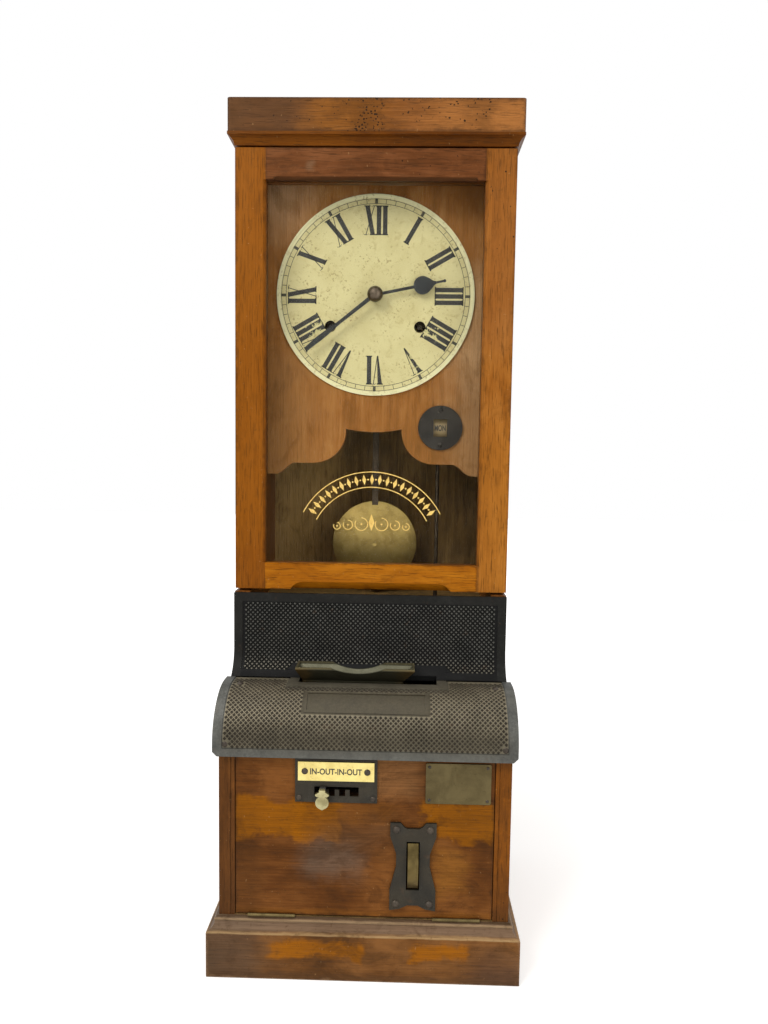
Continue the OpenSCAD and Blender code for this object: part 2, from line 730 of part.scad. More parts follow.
// The drop front with its openings for the lever and the selector
module drop_panel() color(wood) difference() {
  bar([-in_w / 2 + 1, box_y, panel_z], [in_w / 2 - 1, panel_back_y, panel_z + panel_h]);
  bar([lever_x - lever_w / 2 - 2, box_y - cut, lever_z - lever_slot_h / 2 - 2],
    [lever_x + lever_w / 2 + 2, panel_back_y + cut, lever_z + lever_slot_h / 2 + 1]);
  bar([comb_x - comb_w / 2 - 1, box_y - cut, slot_z - slot_h / 2 - 1],
    [comb_x + comb_w / 2 + 1, panel_back_y + cut, slot_z + slot_h / 2 + 1]);
}

frame_pad_t = 3;
module in_out_plate() color(brass)
  bar([io_x - io_w / 2, box_y - frame_pad_t - 1.5, io_z - io_h / 2],
    [io_x + io_w / 2, box_y - frame_pad_t, io_z + io_h / 2]);

// The selector's bracket: a thick pad behind the brass plate and a thin comb under it
comb_low = slot_z - slot_h / 2 - 7.2;
module selector_bracket() color(iron) {
  pad_low = slot_z + slot_h / 2 + 2;
  bar([io_x - io_w / 2 - 3.3, box_y - frame_pad_t, pad_low],
    [io_x + io_w / 2 + 3.3, box_y, io_z + io_h / 2 + 2.2]);
  difference() {
    bar([io_x - io_w / 2 - 3.3, box_y - 2, comb_low], [io_x + io_w / 2 + 3.3, box_y, pad_low]);
    bar([comb_x - comb_w / 2, box_y - 4, slot_z - slot_h / 2],
      [comb_x + comb_w / 2, box_y + cut, slot_z + slot_h / 2]);
  }
  for (i = [0:2]) bar([notch_x + (i + 0.5) * column_pitch - 4.3, box_y - 2, slot_z - slot_h / 2 - 1],
    [notch_x + (i + 0.5) * column_pitch + 0.5, box_y, slot_z + slot_h / 2 - arm_t - 1]);
}

// The lever's escutcheon: concave sides, square ears, an arch at the foot
esc_w = escutcheon_w / 2;
esc_h = escutcheon_h / 2;
esc_right = [[7, esc_h - 6.4], [10.5, esc_h - 4.2], [13, esc_h - 0.9], [14.5, esc_h], [esc_w, esc_h], [esc_w, esc_h - 15],
  [esc_w * 0.73, esc_h - 35], [esc_w * 0.73, 0], [esc_w, 23 - esc_h], [esc_w, -esc_h],
  [esc_w * 0.55, 2 - esc_h], [esc_w * 0.24, 6 - esc_h]];
esc_left = [for (i = [len(esc_right) - 1:-1:0]) [-esc_right[i][0], esc_right[i][1]]];
module lever_escutcheon() color(iron) difference() {
  translate([lever_x, 0, lever_z - 1.3]) facing(box_y - 3, 3) polygon(concat(esc_right, esc_left));
  bar([lever_x - lever_w / 2 - 1.5, box_y - 9, lever_z - lever_slot_h / 2],
    [lever_x + lever_w / 2 + 1.5, box_y + cut, lever_z + lever_slot_h / 2]);
}

number_x = in_w / 2 - 40.5;
number_z = cover_z - 29;
module number_plate() color("#6f6747") translate([number_x, 0, number_z])
  facing(box_y - 1.5, 1.5) round_rect(number_w, number_h, 2);

module panel_screws() color(steel) {
  for (m = [-1, 1]) {
    translate([io_x + m * (io_w / 2 - 7.5), box_y - frame_pad_t - 1.5, io_z]) rotate([90, 0, 0])
      dome_screw(7, 2.2);
    translate([io_x + m * (io_w / 2 - 1.3), box_y - 2, comb_low + 4.8]) rotate([90, 0, 0])
      dome_screw(6, 2);
    for (s = [-1, 1]) {
      translate([lever_x + m * (escutcheon_w / 2 - 6.8), box_y - 3,
        lever_z - 1.3 + s * (escutcheon_h / 2 - 7.6)]) rotate([90, 0, 0]) dome_screw(8, 2.6);
      translate([number_x + m * (number_w / 2 - 4), box_y - 1.5,
        number_z + s * (number_h / 2 - 4)]) rotate([90, 0, 0]) dome_screw(3.6, 1);
    }
  }
}

// The lever's bracket and pin behind the panel, and the lever with its D-shaped blade
module lever_bracket() color(steel) {
  bar([lever_x - 14, panel_back_y, pivot[1] - 13],
    [lever_x + 14, panel_back_y + 2.5, pivot[1] + 13]);
  for (x = [-11.5, 9]) bar([lever_x + x, panel_back_y + 2, pivot[1] - 8],
    [lever_x + x + 2.5, pivot[0] + 6, pivot[1] + 8]);
  rod_x([lever_x - 11, pivot[0], pivot[1]], 5, 22);
}
module print_lever() color(brass) {
  r = (lever_h * lever_h / 4 + 81) / 18;
  back = panel_back_y + 8.5;
  low = lever_z - lever_slot_h / 2 + 1.6;
  difference() {
    union() {
      rod_x([lever_x - 8.5, pivot[0], pivot[1]], 12, 17);
      bar([lever_x - 4, panel_back_y + 4, low + lever_h - 2], [lever_x + 4, back, pivot[1] - 3]);
      along_x(lever_w, lever_x - lever_w / 2) intersection() {
        translate([box_y - lever_out + r, low + lever_h / 2]) circle(r);
        translate([box_y - lever_out - cut, low]) square([back - box_y + lever_out + cut, lever_h]);
        translate(pivot) circle(norm([box_y + 2, low] - pivot), $fn = 180);
      }
    }
    rod_x([lever_x - 20, pivot[0], pivot[1]], 5 + 2 * fit, 40);
  }
}

// The selector's brass knob and the steel strip that moves the carriage
knob_top = slot_z + slot_h / 2 - 0.4;
module selector_knob() color("#c9bf86") translate([notch_x, 0, 0]) facing(box_y - 11, 3.4) {
  polygon([[-3.2, knob_top], [3.2, knob_top], [3.4, knob_top - 2.4], [7.6, knob_top - 5],
    [7.4, knob_top - 6.2], [5.2, knob_top - 7.6], [-5.2, knob_top - 7.6],
    [-7.4, knob_top - 6.2], [-7.6, knob_top - 5], [-3.4, knob_top - 2.4]]);
  translate([0, knob_top - 14]) circle(7.2);
  polygon([[-6, knob_top - 17.4], [6, knob_top - 17.4], [0.6, knob_top - 22],
    [-0.6, knob_top - 22]]);
}
fork_y = chute_front - 10;
module selector_slide() color(steel)
  bar([notch_x - arm_w / 2, box_y - 7.6, slot_z + slot_h / 2 - 0.1 - arm_t],
    [notch_x + arm_w / 2, fork_y + 6, slot_z + slot_h / 2 - 0.1]);

// The card carriage: a flared funnel above, a flat chute below
funnel_low = chute_top + sheet_t;
throat_w = card_w + 2 * sheet_t;
lip_z = hood_top + 18.5;
function mouth(w, y0, y1) = [[-w / 2, y0], [w / 2, y0], [w / 2, y1], [-w / 2, y1]];
module loft(w0, a0, b0, z0, w1, a1, b1, z1, dx) hull() {
  translate([0, 0, z0]) linear_extrude(0.01) polygon(mouth(w0, a0, b0));
  translate([dx, 0, z1]) linear_extrude(0.01) polygon(mouth(w1, a1, b1));
}
module card_funnel() color("#6d6a45") translate([chute_x, 0, 0]) difference() {
  f = card_y - 14.5;
  b = card_y + 13;
  rim = lip_z - lip_h;
  dx = 3;
  union() {
    bar([-throat_w / 2, chute_front, funnel_low], [throat_w / 2, chute_back, hood_top + 1.2]);
    loft(throat_w, chute_front, chute_back, hood_top + 1, funnel_w, f, b, rim, dx);
    bar([dx - funnel_w / 2, f, rim], [dx + funnel_w / 2, b, lip_z]);
  }
  bar([-card_w / 2, card_y - card_gap / 2, funnel_low - cut],
    [card_w / 2, card_y + card_gap / 2, hood_top + 3]);
  loft(card_w, card_y - card_gap / 2, card_y + card_gap / 2, hood_top + 2,
    funnel_w - 5, f + 2.5, b - 2.5, rim + 0.5, dx);
  bar([dx + 2.5 - funnel_w / 2, f + 2.5, rim], [dx + funnel_w / 2 - 2.5, b - 2.5, lip_z + cut]);
  translate([6, f - cut, lip_z + 65]) rotate([-90, 0, 0]) cylinder(r = 72, h = b - f + 2 * cut);
}
module card_chute() color(steel) translate([chute_x, 0, 0]) difference() {
  union() {
    bar([-throat_w / 2, chute_front, chute_low], [throat_w / 2, chute_back, chute_top]);
    bar([-slot_len / 2 - travel / 2 - 1, card_y - 17, chute_top],
      [slot_len / 2 + travel / 2 + 1, card_y + 16, funnel_low]);
    for (x = [-50, 50], z = rod_zs) bar([x - 6, chute_back, z - 7], [x + 6, rod_y + 6, z + 7]);
    for (s = [-1, 1]) bar([notch_x - chute_x + s * (arm_w / 2 + 2) - 1.5, fork_y, slot_z - 6],
      [notch_x - chute_x + s * (arm_w / 2 + 2) + 1.5, chute_front, slot_z + 10]);
  }
  bar([-card_w / 2, card_y - card_gap / 2, chute_low + 3],
    [card_w / 2, card_y + card_gap / 2, funnel_low + cut]);
  bar([-38, chute_front - 2, print_z - 14], [38, chute_back + 2, print_z + 14]);
  for (z = rod_zs) rod_x([-60, rod_y, z], rod_d + 2 * fit, 120);
}

// The hands, and the arbor with the nut, the wheel and the pinion that turn them
show_minute = 231.6;
show_hour = 78.4;
spade = hour_len - 28.5;
module minute_hand() color("#2c2f33") translate([0, hand_y - 3.5, dial_z])
  rotate([0, show_minute, 0]) difference() {
    facing(0, 1.2) {
      circle(7);
      polygon([[-2.4, 4], [2.4, 4], [1.9, 0.52 * minute_len], [3.4, 0.81 * minute_len],
        [2.2, minute_len], [-2.2, minute_len], [-3.4, 0.81 * minute_len],
        [-1.9, 0.52 * minute_len]]);
    }
    rod_yy([0, -cut, 0], 4 + 2 * fit, 9);
  }
module hour_hand() color("#2c2f33") translate([0, hand_y, dial_z])
  rotate([0, show_hour, 0]) difference() {
    facing(0, 1.2) {
      circle(8.5);
      polygon([[-1.7, 6], [1.7, 6], [1.7, spade - 8], [-1.7, spade - 8]]);
      translate([0, spade]) circle(10.7);
      polygon([[-9.2, spade + 5.4], [-6, spade + 10], [-2.6, spade + 13.5], [-1.2, spade + 17],
        [-1.2, hour_len - 2], [1.2, hour_len - 2], [1.2, spade + 17], [2.6, spade + 13.5],
        [6, spade + 10], [9.2, spade + 5.4]]);
      translate([0, hour_len - 1.8]) circle(1.8);
    }
    rod_yy([0, -cut, 0], 10 + 2 * fit, 9);
  }
back_end = back_plate_y + plate_t;
module centre_arbor() color(brass) {
  nut_y = hand_y - 3.5;
  rod_yy([0, nut_y - 8, dial_z], 4, back_end - nut_y + 8);
  translate([0, nut_y - 0.2, dial_z]) rotate([90, 0, 0]) intersection() {
    translate([0, 0, -1]) sphere(r = 9.6);
    cylinder(r = 9.4, h = 9);
  }
  rod_yy([0, nut_y + 1.3, dial_z], 7, front_plate_y - nut_y - 2);
  rod_yy([0, front_plate_y - 0.7, dial_z], 6, back_end - front_plate_y + 0.7);
  gear_y([0, front_plate_y - 3, dial_z], 5.7, 12, 2.3, 1.2);
  gear_y([0, front_plate_y + 18.5, dial_z], 15.2, 24, 4);
  gear_y([0, front_plate_y + 34, dial_z], 34, 72, 2.5, 1.6, 0, 4);
}
module hour_wheel() color(brass) difference() {
  union() {
    rod_yy([0, hand_y - 0.6, dial_z], 10, board_back + 1.7 - hand_y);
    gear_y([0, board_back + 1, dial_z], 18.8, 40, 2, 1.2);
  }
  rod_yy([0, hand_y - 3, dial_z], 7 + 2 * fit, board_back - hand_y + 9);
}
module minute_wheel() color(brass) difference() {
  union() {
    gear_y([24, front_plate_y - 3, dial_z], 17.9, 36, 2, 1.2);
    gear_y([24, board_back + 1.2, dial_z], 4.8, 10, front_plate_y - board_back - 4.2, 1);
  }
  rod_yy([24, board_back, dial_z], 3 + 2 * fit, 9);
}

// Spring barrels with their great wheels and squared winding arbors
module barrel(x) translate([x, 0, wind_z]) {
  rod_yy([0, front_plate_y + 4, 0], 56, 14.5);
  gear_y([0, front_plate_y + 18.5, 0], 49.5, 96, 2.5, 1.6);
  rod_yy([0, front_plate_y, 0], 8, back_end - front_plate_y);
  bar([-2.6, board_y + 1, -2.6], [2.6, front_plate_y + 1, 2.6]);
}
module left_barrel() color(brass) barrel(-wind_x);
module right_barrel() color(brass) barrel(wind_x);

module escape_wheel() color(brass) {
  rod_yy([0, front_plate_y, escape_z], 4, back_end - front_plate_y);
  gear_y([0, front_plate_y + 27, escape_z], escape_r, 30, 2, 2.6, 0, 4);
  gear_y([0, front_plate_y + 34, escape_z], 7.5, 12, 4, 1.4);
}

// The anchor with its pallets, its arbor and the crutch behind the back plate
crutch_y = back_end + 3;
module anchor() color(steel) {
  rod_yy([0, front_plate_y, anchor_z], 4, crutch_y + 3 - front_plate_y);
  translate([0, 0, anchor_z]) facing(front_plate_y + 26.5, 3) {
    circle(5);
    for (m = [0, 1]) mirror([m, 0])
      polygon([[0, 4], [6, 3], [19, -8], [16, -14.5], [12.6, -12], [14.5, -8.5], [4, -4.5], [0, -4.5]]);
  }
  rod_yy([0, crutch_y, anchor_z], 9, 3);
  bar([-2.5, crutch_y, anchor_z - 72], [2.5, crutch_y + 3, anchor_z]);
  bar([-8, crutch_y, anchor_z - 76], [8, crutch_y + 3, anchor_z - 70]);
  for (s = [-1, 1]) bar([s * 6.3 - 1.7, crutch_y, anchor_z - 76],
    [s * 6.3 + 1.7, pendulum_y + 4, anchor_z - 72]);
}

nut_h = 6;
rod_low = bob_z - bob_d / 2 - nut_h - 3;
module pendulum_rod() color("#4a4038") {
  difference() {
    union() {
      rod_yy([0, pendulum_y - rod_t / 2, anchor_z], 11, rod_t);
      bar([-rod_w / 2, pendulum_y - rod_t / 2, rod_low], [rod_w / 2, pendulum_y + rod_t / 2, anchor_z]);
    }
    rod_yy([0, pendulum_y - 5, anchor_z], 4 + 2 * fit, 10);
  }
  translate([0, pendulum_y, bob_z - bob_d / 2 - nut_h]) cylinder(d = 14, h = nut_h - 0.5);
}
module pendulum_bob() color(brass) difference() {
  lens = (bob_d * bob_d / 4 + 81) / 18;
  translate([0, pendulum_y, bob_z]) rotate([90, 0, 0]) rotate_extrude($fn = 96) intersection() {
    translate([0, lens - 9]) circle(lens, $fn = 360);
    translate([0, 9 - lens]) circle(lens, $fn = 360);
    translate([0, -20]) square([bob_d, 40]);
  }
  bar([-rod_w / 2 - fit, pendulum_y - rod_t / 2 - fit, bob_z - bob_d],
    [rod_w / 2 + fit, pendulum_y + rod_t / 2 + fit, bob_z + bob_d]);
}

// The upright shaft from the movement to the recorder, and the geared shafts there
module drive_shaft() color(steel) {
  low = print_z + shaft_d / 2 + 7;
  translate([day_x, drive_y, low]) cylinder(d = 5, h = plate_low + 18 - low);
  translate([day_x, drive_y, low]) cylinder(d1 = 10, d2 = 17, h = 5);
  translate([day_x, drive_y, plate_low + 10]) cylinder(d1 = 12, d2 = 8, h = 6);
  translate([day_x, drive_y, day_z - 7]) cylinder(d = 6.5, h = 14);
}
module lay_gear() color(steel) {
  rod_x([-frame_x - frame_t, lay_y, print_z], shaft_d, 2 * (frame_x + frame_t));
  gear_x_axis([gear_x, lay_y, print_z], gear_r, 60, 3, 1.8, 0, 5);
  translate([day_x - 15, lay_y, print_z]) rotate([0, 90, 0]) cylinder(d1 = 17, d2 = 10, h = 5);
}
module type_wheel(x, bore) difference() {
  rod_x([x, type_y, print_z], 2 * type_r, 8);
  if (bore > 0) rod_x([x - cut, type_y, print_z], bore, 10);
  for (s = [-1, 6.5]) translate([x + s, 0, 0]) difference() {
    rod_x([0, type_y, print_z], 2 * type_r - 12, 2.5);
    rod_x([0, type_y, print_z], 20, 2.5);
  }
}
module type_wheel_minutes() color(brass) {
  rod_x([-frame_x - frame_t, type_y, print_z], shaft_d, 2 * (frame_x + frame_t));
  type_wheel(5.5, 0);
  gear_x_axis([gear_x, type_y, print_z], gear_r, 60, 3, 1.8, 0, 5);
}
module type_wheel_hours() color(brass) type_wheel(-4, shaft_d + 2 * fit);
module type_wheel_days() color(brass) type_wheel(-13.5, shaft_d + 2 * fit);

hammer_pivot = [frame_front + 6, plinth_h + 22];
module print_hammer() color(steel) {
  rod_x([-frame_x - frame_t, hammer_pivot[0], hammer_pivot[1]], shaft_d, 2 * (frame_x + frame_t));
  for (x = [-12, 8]) bar([x, hammer_pivot[0], hammer_pivot[1]], [x + 4, hammer_pivot[0] + 8, print_z]);
  bar([-15, hammer_pivot[0] + 6, print_z - 8], [15, chute_front - 3, print_z + 8]);
  along_x(8, lever_x - 4) translate(hammer_pivot) polygon([[0, -4], [14, 8], [14, 42], [9, 42],
    [9, 31], [11.5, 29], [11.5, 12], [0, 4]]);
}

module day_wheel() color("#ded6b4") {
  rod_x([day_x - 11, drum_y, day_z], 2 * drum_r, 22);
  rod_x([day_x - 16, drum_y, day_z], 4, 32);
}

// Ribbon spools on their pins
module spool(x) translate([x, spool_y, spool_z]) rotate([90, 0, 0]) difference() {
  union() {
    cylinder(r = 20, h = 1.2);
    cylinder(r = 14, h = 11);
    translate([0, 0, 10]) cylinder(r = 20, h = 1.2);
  }
  translate([0, 0, -cut]) cylinder(d = 5 + 2 * fit, h = 20);
}
module ribbon_spool_left() color(iron) spool(-spool_x);
module ribbon_spool_right() color(iron) spool(spool_x);

plinth_boards();
bottom_board();
side_boards();
back_board();
cornice();
cove_moulding();
shelf_board();
dial_board();
cover_back_plate();
cover_hood();
cover_screws();
dial();
day_escutcheon();
movement_front_plate();
movement_back_plate();
movement_bracket();
recorder_frame();
guide_rods();
case_hinge_leaves();
door_stiles();
door_top_rail();
door_bottom_rail();
door_glass();
glazing_beads();
door_hinge_leaves();
door_catch();
drop_panel();
panel_hinge_leaves();
in_out_plate();
selector_bracket();
lever_escutcheon();
number_plate();
panel_screws();
lever_bracket();
selector_knob();
selector_slide();
print_lever();
card_funnel();
card_chute();
minute_hand();
centre_arbor();
hour_hand();
hour_wheel();
minute_wheel();
left_barrel();
right_barrel();
escape_wheel();
anchor();
pendulum_rod();
pendulum_bob();
drive_shaft();
lay_gear();
type_wheel_minutes();
type_wheel_hours();
type_wheel_days();
print_hammer();
day_wheel();
ribbon_spool_left();
ribbon_spool_right();
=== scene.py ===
import math

import bmesh
import bpy
from mathutils import Matrix, Vector


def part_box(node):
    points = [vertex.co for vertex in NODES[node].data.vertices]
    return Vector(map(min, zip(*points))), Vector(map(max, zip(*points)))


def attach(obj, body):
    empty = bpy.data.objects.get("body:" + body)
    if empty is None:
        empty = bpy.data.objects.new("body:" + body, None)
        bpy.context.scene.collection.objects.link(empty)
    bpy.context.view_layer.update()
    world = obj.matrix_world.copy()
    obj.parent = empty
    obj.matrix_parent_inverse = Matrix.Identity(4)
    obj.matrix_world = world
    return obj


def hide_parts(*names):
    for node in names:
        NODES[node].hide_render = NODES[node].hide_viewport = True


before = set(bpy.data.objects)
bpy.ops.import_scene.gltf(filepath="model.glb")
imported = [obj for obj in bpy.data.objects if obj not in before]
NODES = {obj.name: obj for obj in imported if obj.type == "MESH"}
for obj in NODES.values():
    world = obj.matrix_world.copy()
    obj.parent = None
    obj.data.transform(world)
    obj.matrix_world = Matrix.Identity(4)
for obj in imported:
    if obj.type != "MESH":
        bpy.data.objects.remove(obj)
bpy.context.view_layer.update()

MM = 0.001


# Small helpers for shader nodes

# Which sockets of the mix node hold its share, its two colours and the colour that comes out
MIX_INPUTS = (0, 6, 7)
MIX_RESULT = 2
# How squarely a face has to look along an axis to count as facing that way
FACING = 0.7


def scaled(color, share):
    return tuple(v * share for v in color)


class Nodes:
    """A node tree that is filled by short calls."""

    def __init__(self, tree):
        self.tree = tree
        self.tree.nodes.clear()

    def add(self, kind):
        return self.tree.nodes.new("ShaderNode" + kind)

    def put(self, sock, value):
        """Links a node's output to a socket, or sets the socket's constant."""
        if isinstance(value, bpy.types.NodeSocket):
            self.tree.links.new(value, sock)
        elif isinstance(value, (tuple, list)) and len(value) == 3 and sock.type == "RGBA":
            sock.default_value = (*value, 1.0)
        else:
            sock.default_value = value

    def feed(self, node, *values):
        """Fills a node's first inputs in their order and returns its output."""
        for sock, value in zip(node.inputs, values):
            self.put(sock, value)
        return node.outputs[0]

    def set(self, node, **values):
        """Fills the inputs of these names, with _ for a space, and returns the node."""
        for key, value in values.items():
            self.put(node.inputs[key.replace("_", " ")], value)
        return node

    def math(self, op, *values):
        node = self.add("Math")
        node.operation = op
        return self.feed(node, *values)

    def fold(self, op, values):
        """Works many values into one, two at a time."""
        total = values[0]
        for value in values[1:]:
            total = self.math(op, total, value)
        return total

    def plus(self, *values):
        return self.fold("ADD", values)

    def minus(self, a, b):
        return self.math("SUBTRACT", a, b)

    def times(self, *values):
        return self.fold("MULTIPLY", values)

    def length(self, a, b):
        return self.math("SQRT", self.plus(self.times(a, a), self.times(b, b)))

    def seen(self):
        """1 for what the camera sees, straight, mirrored or through glass, and 0 for what gives light."""
        path = self.add("LightPath").outputs
        kinds = ("Is Camera Ray", "Is Glossy Ray", "Is Transmission Ray")
        return self.fold("MAXIMUM", [path[kind] for kind in kinds])

    def blend(self, share, first, second):
        node = self.add("MixShader")
        self.feed(node, share, first.outputs[0], second.outputs[0])
        return node

    def end(self, kind, node):
        """Ends the tree with an output of this kind."""
        self.put(self.add(kind).inputs[0], node.outputs[0])


class Mat(Nodes):
    """A material. Coordinates are metres in the part's frame. Noise takes its scale per metre."""

    def __init__(self, name):
        self.mat = bpy.data.materials.new(name)
        self.mat.use_nodes = True
        super().__init__(self.mat.node_tree)
        tex = self.add("TexCoord")
        self.co = tex.outputs["Object"]
        self.x, self.y, self.z = self.split(self.co)
        self.facing = tex.outputs["Normal"]
        self.col = None

    def split(self, vector):
        node = self.add("SeparateXYZ")
        self.feed(node, vector)
        return node.outputs

    def vec(self, x, y, z):
        return self.feed(self.add("CombineXYZ"), x, y, z)

    def noise(self, vector, scale, detail=3.0, rough=0.55, warp=0.0):
        node = self.add("TexNoise")
        self.set(node, Vector=vector, Scale=scale, Detail=detail, Roughness=rough, Distortion=warp)
        return node.outputs[0]

    def cells(self, vector, scale):
        """The distance to the nearest of many points strewn over a plane."""
        node = self.add("TexVoronoi")
        node.voronoi_dimensions = "2D"
        self.set(node, Vector=vector, Scale=scale)
        return node.outputs["Distance"]

    def remap(self, value, a, b, lo=0.0, hi=1.0, smooth=False):
        node = self.add("MapRange")
        node.interpolation_type = "SMOOTHSTEP" if smooth else "LINEAR"
        node.clamp = True
        return self.feed(node, value, a, b, lo, hi)

    def swing(self, value, middle, size):
        """A value turned into a swing about 0."""
        return self.times(self.minus(value, middle), size)

    def distance(self, x, z):
        """The distance from a line along Y."""
        return self.length(self.minus(self.x, x), self.minus(self.z, z))

    def mix(self, share, a, b, blend="MIX"):
        node = self.add("Mix")
        node.data_type = "RGBA"
        node.blend_type = blend
        for i, value in zip(MIX_INPUTS, (share, a, b)):
            self.put(node.inputs[i], value)
        return node.outputs[MIX_RESULT]

    def cover(self, share, color):
        """Lays a share of a colour over the colour so far."""
        self.col = self.mix(share, self.col, color)

    def flecked(self, color, fleck):
        return self.mix(1.0, color, self.vec(fleck, fleck, fleck), "MULTIPLY")

    def ramp(self, share, stops):
        node = self.add("ValToRGB")
        elements = node.color_ramp.elements
        while len(elements) < len(stops):
            elements.new(0.5)
        for element, (place, color) in zip(elements, stops):
            element.position = place
            element.color = (*color, 1.0)
        return self.feed(node, share)

    def bump(self, height, distance, strength):
        return self.set(self.add("Bump"), Height=height, Distance=distance, Strength=strength).outputs[0]

    def box_mask(self, limits, soft, wobble=None):
        """1 inside a box given by its lower and upper limits, fading over soft metres."""
        masks = []
        for pairs, ends in zip(limits, ((0.0, 1.0), (1.0, 0.0))):
            for axis, v in pairs:
                c = getattr(self, axis)
                if wobble is not None:
                    c = self.plus(c, wobble)
                masks.append(self.remap(c, v - soft, v + soft, *ends, smooth=True))
        return self.times(*masks)

    def near_planes(self, planes, width, wobble):
        """1 on the given planes, falling to 0 at about width metres from them."""
        gaps = [self.math("ABSOLUTE", self.minus(getattr(self, axis), v)) for axis, v in planes]
        nearest = self.plus(self.fold("MINIMUM", gaps), wobble)
        return self.remap(nearest, 0.0, width, 1.0, 0.0, smooth=True)

    def surface(self, rough, metal=0.0, **more):
        """Ends the material with the colour so far."""
        shader = self.add("BsdfPrincipled")
        self.set(shader, Base_Color=self.col, Roughness=rough, Metallic=metal, **more)
        self.end("OutputMaterial", shader)
        return self.mat


def dress(mat, *names):
    """Gives a material to CAD nodes."""
    for name in names:
        ob = NODES[name]
        if not ob.material_slots:
            ob.data.materials.append(mat)
        for s in ob.material_slots:
            s.material = mat


# Places on a surface: spans are (low, high) in metres in the part's frame, found on the photo

def limits(x=(None, None), y=(None, None), z=(None, None)):
    """The lower and the upper limits of a box as (axis, value) pairs. None leaves a side open."""
    spans = (("x", x), ("y", y), ("z", z))
    return [[(axis, span[end]) for axis, span in spans if span[end] is not None] for end in (0, 1)]


def patch(tint, share, soft, loose=1.0, **spans):
    """A stained or rubbed place, or a place of painted light or shade: colour, share, softness of its edge
    and how far the edge wanders.
    """
    return limits(**spans), tint, share, soft, loose


def holes(density, radius, share, **spans):
    """Worm holes: how many cells a metre, a hole's radius and the share of the place that has them."""
    return limits(**spans), density, radius, share


def planes_of(node):
    lo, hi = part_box(node)
    return [(axis, getattr(v, axis)) for v in (lo, hi) for axis in "xz"]


# Wood

class Wood(Mat):
    """Stained oak, its grain along X or Z. XY is along X, and along Y on the faces to the sides."""

    def __init__(self, name, axis, seed):
        super().__init__(name)
        nx, ny, _ = [self.math("ABSOLUTE", v) for v in self.split(self.facing)]
        self.faces_front = self.math("GREATER_THAN", ny, FACING)
        if axis == "XY":
            side = self.math("GREATER_THAN", nx, FACING)
            front = self.minus(1.0, side)
            self.along = self.plus(self.times(self.x, front), self.times(self.y, side))
            across = self.plus(self.times(self.y, front), self.times(self.x, side))
            self.deep = self.z
        else:
            turned_axes = {"X": (self.x, self.y, self.z), "Z": (self.z, self.x, self.y)}
            self.along, across, self.deep = turned_axes[axis]
        self.across = self.plus(across, seed)
        self.fibre = self.grain(0.022, 620.0, 4.0, 0.65)
        self.pores = self.remap(self.grain(0.045, 1300.0, 1.0, 0.4), 0.60, 0.68)
        self.cloud = self.noise(self.co, 8.0, 4.0, 0.6, 0.4)
        self.wobble = self.plus(self.swing(self.noise(self.co, 26.0, 4.0, 0.6, 0.5), 0.5, 0.05),
                                self.swing(self.grain(0.07, 120.0, 3.0, 0.6), 0.5, 0.02))
        self.height = self.minus(self.times(self.fibre, 0.5), self.times(self.pores, 0.7))

    def grain(self, stretch, *settings):
        """Noise that is drawn out along the grain."""
        return self.noise(self.vec(self.times(self.along, stretch), self.across, self.deep), *settings)

    def lay_figure(self, cols, ring, blotch):
        """Year rings, fibres and cloudy stain, from the darkest to the lightest of three colours."""
        field = self.grain(0.07, 26.0, 3.0, 0.5, 0.6)
        warp = self.grain(0.25, 14.0, 2.0)
        waves = self.math("SINE", self.plus(self.times(field, 46.0), self.times(warp, 9.0)))
        rings = self.remap(waves, -1.0, 1.0, smooth=True)
        mottle = self.grain(0.3, 70.0, 5.0, 0.66, 0.4)
        tone = self.plus(self.times(rings, ring * 0.40),
                         self.times(self.fibre, 0.38),
                         self.times(mottle, 0.50 - ring * 0.2),
                         self.swing(self.cloud, 0.5, blotch * 1.6))
        self.col = self.ramp(tone, [(0.16, cols[0]), (0.42, cols[1]), (0.68, cols[2])])

    def lay_patch(self, where, tint, share, soft, loose):
        mask = self.box_mask(where, soft, self.times(self.wobble, loose))
        mask = self.times(mask, self.remap(self.cloud, 0.25, 0.6, 0.6, 1.0))
        fleck = self.remap(self.fibre, 0.3, 0.7, 0.75, 1.12)
        self.cover(self.times(mask, share), self.flecked(tint, fleck))

    def wear_edges(self, planes, width, color, share):
        ragged = self.swing(self.noise(self.co, 60.0, 4.0, 0.65), 0.42, 0.012)
        self.cover(self.times(self.near_planes(planes, width, ragged), share), color)

    def soil(self, darkest, pore, grime):
        """Dark pores, stains, specks of dirt and light scratches."""
        self.cover(self.times(self.pores, pore), scaled(darkest, 0.30))
        stains = self.remap(self.grain(0.55, 30.0, 6.0, 0.7, 0.8), 0.50, 0.66, smooth=True)
        self.cover(self.times(stains, grime), scaled(darkest, 0.75))
        dirt = self.remap(self.noise(self.co, 190.0, 5.0, 0.75), 0.58, 0.70)
        self.cover(self.times(dirt, grime), (0.045, 0.019, 0.006))
        marks = self.remap(self.grain(1.6, 210.0, 3.0, 0.6), 0.695, 0.735)
        self.cover(self.times(marks, 0.35), (0.42, 0.24, 0.10))

    def bore_holes(self, where, density, radius, share):
        """Worm holes on the faces to the front, in loose groups."""
        flat = self.vec(self.x, self.z, 0.0)
        full = radius * density
        size = self.remap(self.noise(flat, 240.0, 1.0), 0.35, 0.65, full * 0.5, full * 1.2)
        dots = self.math("LESS_THAN", self.cells(flat, density), size)
        groups = self.math("LESS_THAN", self.noise(flat, 110.0, 2.0), share)
        dots = self.times(dots, self.box_mask(where, 4 * MM, self.wobble), groups, self.faces_front)
        self.cover(dots, (0.012, 0.006, 0.004))
        self.height = self.minus(self.height, self.times(dots, 2.5))


